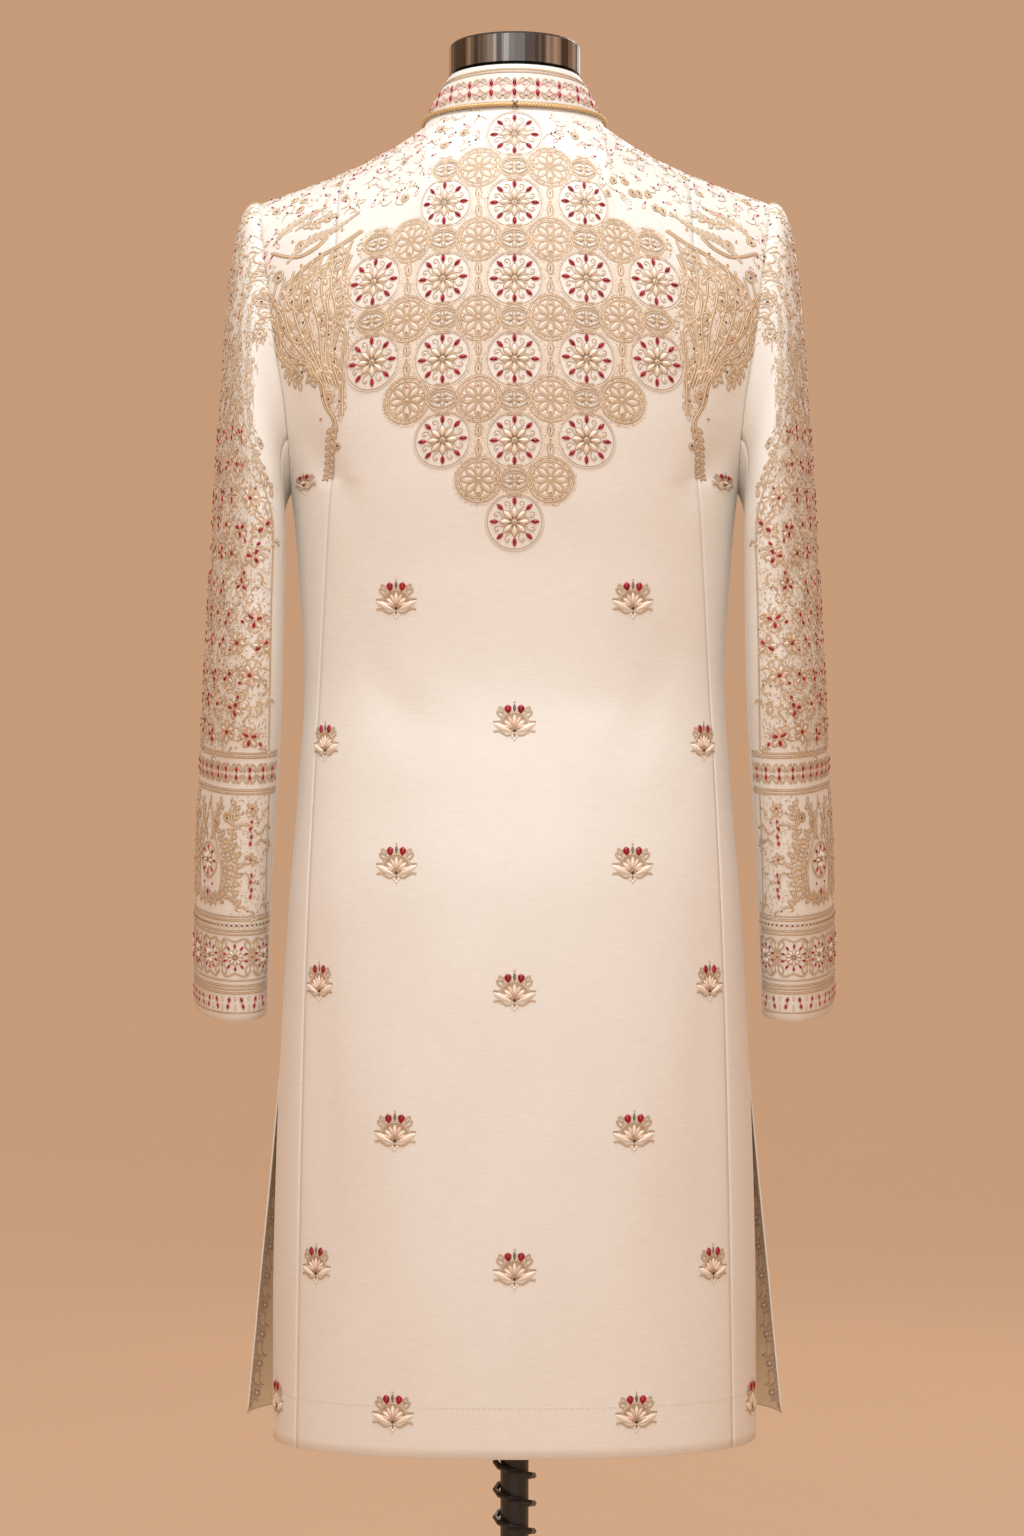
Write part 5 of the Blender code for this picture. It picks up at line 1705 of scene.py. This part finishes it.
def sleeve_head(work):
    """Open sprays, curls and a paisley from the mesh up to the shoulder, on the +across side."""
    def inside(across, along):
        return (across > 4) & (across < 113 + (along - 470) * 0.44)

    for points, spacing, length, width in SLEEVE_HEAD_SPRAYS:
        spray(work, points, spacing, length, width)
    for curl in SLEEVE_HEAD_CURLS:
        spiral(work, *curl)
    work.thread("zari", curve(PAISLEY), 1.3, 0.6)
    work.thread("zari", curve(PAISLEY_HEART), 0.8)
    floret(work, (61, 541), 0.7, 0.3, "red")
    for at in SLEEVE_HEAD_PAIRS:
        bead_pair(work, at, 0.5, 0.8)
    box = (4, 480, 190, 676)
    work.twigs(inside, box, 12.5, 34, 1.15)
    work.seeds(("deep_fill", "pearl", "fill"), inside, box, 6.0, 36, 4.4, 1.1)
    for at in SLEEVE_HEAD_BUDS:
        work.dot("dark", at, 1.0, 1.0)
        work.petal_line("zari", at, 0.9, 2.0, 5.6, 2.6, 0.6, 1.0)


def sleeve_embroidery():
    """Bands at the cuff, a panel of vases, a mesh of small flowers, then open sprays to the shoulder."""
    work = Pattern()
    cuff_bands(work)
    vase_band(work)
    floret_mesh(work, np.random.default_rng(11))
    for work.flip in (-1, 1):
        sleeve_head(work)
    return work


def collar_embroidery():
    """Pairs of red beads on a wavy pink line, between fine lines along both edges."""
    work = Pattern()
    for along, thick in ((2.6, 0.8), (28.6, 0.7), (31.2, 0.9)):
        work.line("zari", (-232, along), (232, along), thick)
    across = np.arange(-228, 229, 2.0)
    work.thread("pink", np.stack([across, 15 + 4.2 * np.sin(across * pi / 9.5)], axis=-1), 1.1)
    work.thread("pale_fill", np.stack([across, 15 - 4.2 * np.sin(across * pi / 9.5)], axis=-1), 1.0)
    for k in range(-12, 13):
        middle = k * 19.0
        bead_pair(work, (middle, 15), 0.0, 1.55)
        for side in (-1, 1):
            work.petal_line("zari", (middle, 15), side * 0.75, 4.5, 7.0, 3.0, 0.7)
            work.petal_line("zari", (middle, 15), pi - side * 0.75, 4.5, 7.0, 3.0, 0.7)
        work.dot("pearl", (middle + 9.5, 15), 1.6, 1.0)
        work.dot("dark", (middle + 9.5, 21.5), 0.8, 0.9)
        work.dot("dark", (middle + 9.5, 8.5), 0.8, 0.9)
        work.petal_line("pink", (middle + 9.5, 15), 0, 2.0, 5.0, 2.6, 0.6, 1.0)
        work.petal_line("pink", (middle + 9.5, 15), pi, 2.0, 5.0, 2.6, 0.6, 1.0)
    return work


def slit_border(reach):
    """A dotted border along the slit edge and hem of a front, seen on its inside."""
    work = Pattern()
    rng = np.random.default_rng(9)

    def facing(across, along):
        edge = reach(float(along[0]))
        return (across < edge - 1.0) & (across > edge - 60.0)

    # The laid facing's bright gold is partly its own colour and partly painted light, as this strip lies in
    # shade.
    work.hatch("facing", facing, (120, 3, 300, 318), 3.2)
    for along in np.arange(6, 312, 5.2):
        work.dot("edge", (reach(along) - 7.5, along), 1.1, 0.7)
    for inset in (3.5, 11.5):
        path = [(reach(along) - inset, along) for along in np.arange(3, 312, 6.0)]
        work.thread("zari", path, 0.9)
    for along in np.arange(14, 305, 24):
        floret(work, (reach(along) - 22, along), 1.2, 0.3, "pearl", 6)
        work.twig((reach(along + 12) - 18, along + 7), 0.4, 1.2, 1, rng)
        work.twig((reach(along + 12) - 27, along + 17), 3.4, 1.2, -1, rng)
    return work


# ---------------------------------------------------------------- gold cord round the collar's seam
CORD_STRAND = 0.00088
CORD_TWIST = 0.0085          # length of one turn
CORD_SIDES = 6
CORD_SAMPLES = 560
TACK_RADIUS = 0.00045


def tube_mesh(path, radius, sides):
    """Points and quads of an open tube along a path."""
    ahead = unit(np.gradient(path, axis=0))
    level = unit(np.cross(ahead, [0.0, 0.0, 1.0]))
    upward = np.cross(level, ahead)
    angle = np.linspace(0, 2 * pi, sides, endpoint=False)
    ring = level[:, None] * np.cos(angle)[None, :, None] + upward[:, None] * np.sin(angle)[None, :, None]
    points = (path[:, None] + radius * ring).reshape(-1, 3)
    index = np.arange(len(points)).reshape(len(path), sides)
    around = np.roll(index, -1, axis=1)
    quads = np.stack([index[:-1], around[:-1], around[1:], index[1:]], axis=-1).reshape(-1, 4)
    return points, quads


def tubes_object(name, paths, radius, sides, finish):
    """One object from a tube along each path, which rides the coat as gold cord."""
    points, quads, count = [], [], 0
    for path in paths:
        tube_points, tube_quads = tube_mesh(path, radius, sides)
        points.append(tube_points)
        quads.append(tube_quads + count)
        count += len(tube_points)
    made = mesh_object(name, np.concatenate(points), [np.concatenate(quads)], [finish])
    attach(made, "root")
    return made


def make_cord(finish, tack):
    """Three twisted strands round the collar's seam, and the thread that tacks them at the back."""
    gap = 2.2 * COLLAR_END_GAP
    angle = np.linspace(-pi / 2 + gap, 3 * pi / 2 - gap, CORD_SAMPLES)
    seam = neck_loop(angle, 0.0)
    away = unit(seam * [1, 1, 0])
    centre = seam + away * (PIPING_RADIUS + 0.0006) + np.array([0.0, 0.0, 1.0]) * 0.0010
    ahead = unit(np.gradient(centre, axis=0))
    level = unit(np.cross(ahead, [0.0, 0.0, 1.0]))
    upward = np.cross(level, ahead)
    run = np.concatenate([[0], np.cumsum(np.linalg.norm(np.diff(centre, axis=0), axis=1))])
    strands = []
    for strand in range(3):
        turn = (2 * pi * run / CORD_TWIST + strand * 2 * pi / 3)[:, None]
        strands.append(centre + CORD_STRAND * (level * np.cos(turn) + upward * np.sin(turn)))
    cord = tubes_object("coat_cord", strands, CORD_STRAND * 1.04, CORD_SIDES, finish)
    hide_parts("collar_piping")

    # two crossed stitches of dark thread tack it down at the middle of the back
    middle = centre[len(centre) // 2]
    reach = np.linspace(-1, 1, 9)
    stitches = [
        middle + np.stack([reach * lean, 0.0021 * np.cos(reach * 1.3), reach * 0.0030], axis=-1)
        for lean in (-0.0022, 0.0022)
    ]
    stitch = tubes_object("coat_cord_tack", stitches, TACK_RADIUS, 5, tack)
    return cord, stitch


# ---------------------------------------------------------------- light, floor, camera
CAMERA_PLACE = (0.002, 2.75, 0.884)
CAMERA_TILT = radians(1.742)         # above level
SENSOR_HEIGHT = 36.0
LENS = 78.61
PAPER = (0.21, 0.125, 0.074)
PAPER_DARK = (0.18, 0.105, 0.060)
PAPER_GLOW = (0.452, 0.284, 0.176)
FLOOR_REACH = 4.2                    # the flat part's radius
FLOOR_BEND = 3.8                     # the radius of its rise into the wall
FLOOR_HOLE = 0.02
FLOOR_SIDES = 96
WALL_TOP = 7.5
COOL = (0.78, 0.90, 1.0)
PALE_COOL = (0.86, 0.93, 1.0)
WARM_AIR = (1.0, 0.66, 0.40, 1.0)
LIGHTS = (
    # name, place, target, size, power, colour
    ("key", (0.35, 3.3, 3.1), (0.0, 0.0, 1.05), (1.6, 1.4), 37.0, COOL),
    ("top", (0.0, 0.9, 3.3), (0.0, 0.0, 1.35), (1.6, 1.0), 50.0, COOL),
    ("front", (-0.8, -3.6, 2.8), (0.0, 0.0, 0.95), (2.4, 1.8), 62.0, PALE_COOL),
    ("low", (0.0, 4.4, 1.4), (0.0, 0.0, 0.65), (2.4, 1.2), 43.0, COOL),
)


def make_camera():
    """The photo's view: square on from behind, level with the hips, looking up a little."""
    camera = bpy.data.cameras.new("camera")
    camera.sensor_fit = "VERTICAL"
    camera.sensor_height = SENSOR_HEIGHT
    camera.lens = LENS
    made = bpy.data.objects.new("camera", camera)
    bpy.context.scene.collection.objects.link(made)
    made.location = CAMERA_PLACE
    made.rotation_euler = (pi / 2 + CAMERA_TILT, 0.0, pi)
    bpy.context.scene.camera = made
    bpy.context.scene.view_settings.view_transform = "Standard"


def area_light(name, place, target, size, power, colour):
    light = bpy.data.lights.new(name, "AREA")
    light.shape = "RECTANGLE"
    light.size = size[0]
    light.size_y = size[1]
    light.energy = power
    light.color = colour
    made = bpy.data.objects.new(name, light)
    bpy.context.scene.collection.objects.link(made)
    made.location = place
    made.rotation_euler = (Vector(target) - Vector(place)).to_track_quat("-Z", "Y").to_euler()


def make_lights():
    for light in LIGHTS:
        area_light(*light)
    world = bpy.data.worlds.new("studio")
    bpy.context.scene.world = world
    world.use_nodes = True
    background = world.node_tree.nodes["Background"]
    background.inputs["Color"].default_value = WARM_AIR
    background.inputs["Strength"].default_value = 0.40


def make_studio():
    """A pale floor that rises in a wide round sweep on all sides."""
    profile = [(FLOOR_HOLE, 0.0), (0.6, 0.0)]
    for angle in np.linspace(0, pi / 2, 40):
        profile.append((FLOOR_REACH + FLOOR_BEND * sin(angle), FLOOR_BEND - FLOOR_BEND * cos(angle)))
    profile.append((FLOOR_REACH + FLOOR_BEND, WALL_TOP))
    turns = [2 * pi * i / FLOOR_SIDES for i in range(FLOOR_SIDES)]
    points = [(r * cos(turn), r * sin(turn), z) for r, z in profile for turn in turns]
    index = np.arange(len(points)).reshape(len(profile), FLOOR_SIDES)
    around = np.roll(index, -1, axis=1)
    quads = np.stack([index[:-1], around[:-1], around[1:], index[1:]], axis=-1).reshape(-1, 4)
    made, tree, shader = new_material("studio_paper", PAPER, 0.9, specular=0.1)
    grain = noise(tree, mapped(tree, "Object", (1.1, 1.1, 1.1)), 1.0, 4.0)
    tree.links.new(blend_colours(tree, grain, PAPER_DARK, PAPER), shader.inputs["Base Color"])
    shader.inputs["Emission Color"].default_value = (*PAPER_GLOW, 1.0)
    shader.inputs["Emission Strength"].default_value = 1.0
    floor = mesh_object("studio_floor", np.array(points), [quads], [made])


# ---------------------------------------------------------------- put together
def to_side(_):
    """The u of the side seam, which is the end of every row."""
    return 1.0


def make_back(cloth, threads):
    """The centre back with its embroidery, and the two side-back panels."""
    back = BodySide(1, BACK_HEM_Z, BACK_CREASES)
    stitching = lay(back_embroidery(), back.whole(), "back_embroidery", threads)
    centre = back.panel(lambda v: -side_back_seam(v), side_back_seam, BACK_CENTRE_COLUMNS)
    declare(cloth_wall("coat_back_centre", centre, CLOTH, cloth, "back_centre"), centre)
    other_back = BodySide(1, BACK_HEM_Z, mirrored_creases(BACK_CREASES))
    left = back.panel(side_back_seam, to_side, BACK_SIDE_COLUMNS)
    right = other_back.panel(side_back_seam, to_side, BACK_SIDE_COLUMNS)
    for hand, sheet in (("left", left), ("right", right.mirrored())):
        declare(cloth_wall("coat_back_side_" + hand, sheet, CLOTH, cloth, "back_side_" + hand), sheet)


def make_front(cloth, threads):
    """The two fronts, left over right, with sprigs outside and a faced border inside the slits."""
    front = BodySide(-1, FRONT_HEM_Z, FRONT_CREASES)
    stitching = lay(front_embroidery(), front.whole(), "front_embroidery", threads)
    left = front.panel(front_edge(FRONT_OVERLAP), to_side, FRONT_LEFT_COLUMNS)
    other_front = BodySide(-1, FRONT_HEM_Z, mirrored_creases(FRONT_CREASES))
    right = other_front.panel(front_edge(FRONT_UNDERLAP), to_side, FRONT_RIGHT_COLUMNS)
    covered = smooth_step((0.030 - right.points[..., 0]) / 0.012)[..., None]
    right.points = right.points - right.normals * covered * UNDERLAP_STEP

    def side_edge(along):
        return float(np.interp(along, front.along[:, -1] * 1000, front.across[:, -1] * 1000))

    border = slit_border(side_edge)
    for hand, sheet in (("left", left), ("right", right.mirrored())):
        trims = lay(border, sheet.lining(CLOTH), "slit_border_" + hand, threads)
        trims += stitching if hand == "left" else []
        declare(cloth_wall("coat_front_" + hand, sheet, CLOTH, cloth, "front_" + hand), sheet)


def make_sleeves(cloth, threads):
    stitching = sleeve_embroidery()
    for name, left in sleeve_sheets().items():
        for hand, sheet in (("left", left), ("right", left.mirrored())):
            trims = lay(stitching, sheet, f"sleeve_embroidery_{hand}", threads) if name == "top" else []
            piece = cloth_wall(f"coat_sleeve_{name}_{hand}", sheet, CLOTH, cloth, f"sleeve_{name}_{hand}")
            declare(piece, sheet)


def make_collar(cloth, threads, gold):
    band = collar_sheet()
    trims = lay(collar_embroidery(), band, "collar_embroidery", threads)
    trims += make_cord(gold, threads["dark"])
    declare(cloth_wall("coat_collar", band, COLLAR_CLOTH, cloth, "collar"), band)


def finish_nodes(names, finish):
    """Give the CAD nodes that show as they are their finish."""
    for name in names:
        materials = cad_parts[name].data.materials
        materials.clear()
        materials.append(finish)


def main():
    make_camera()
    cloth = silk("coat_silk", (0.84, 0.80, 0.73), (0.75, 0.70, 0.615))
    threads = embroidery_finishes()
    gold = gold_weave()
    make_back(cloth, threads)
    make_front(cloth, threads)
    make_sleeves(cloth, threads)
    make_collar(cloth, threads, gold)
    stand = ("pole", "spring", "height_clamp", "spring_seat", "clamp_lever", "base", "neck_block")
    finish_nodes(stand, black_gloss())
    finish_nodes([f"button_{number}" for number in range(1, 8)], gold)
    finish_nodes(["neck_cap"], brushed_steel())
    finish_nodes(["form_torso"], form_cloth())
    make_studio()
    make_lights()


main()
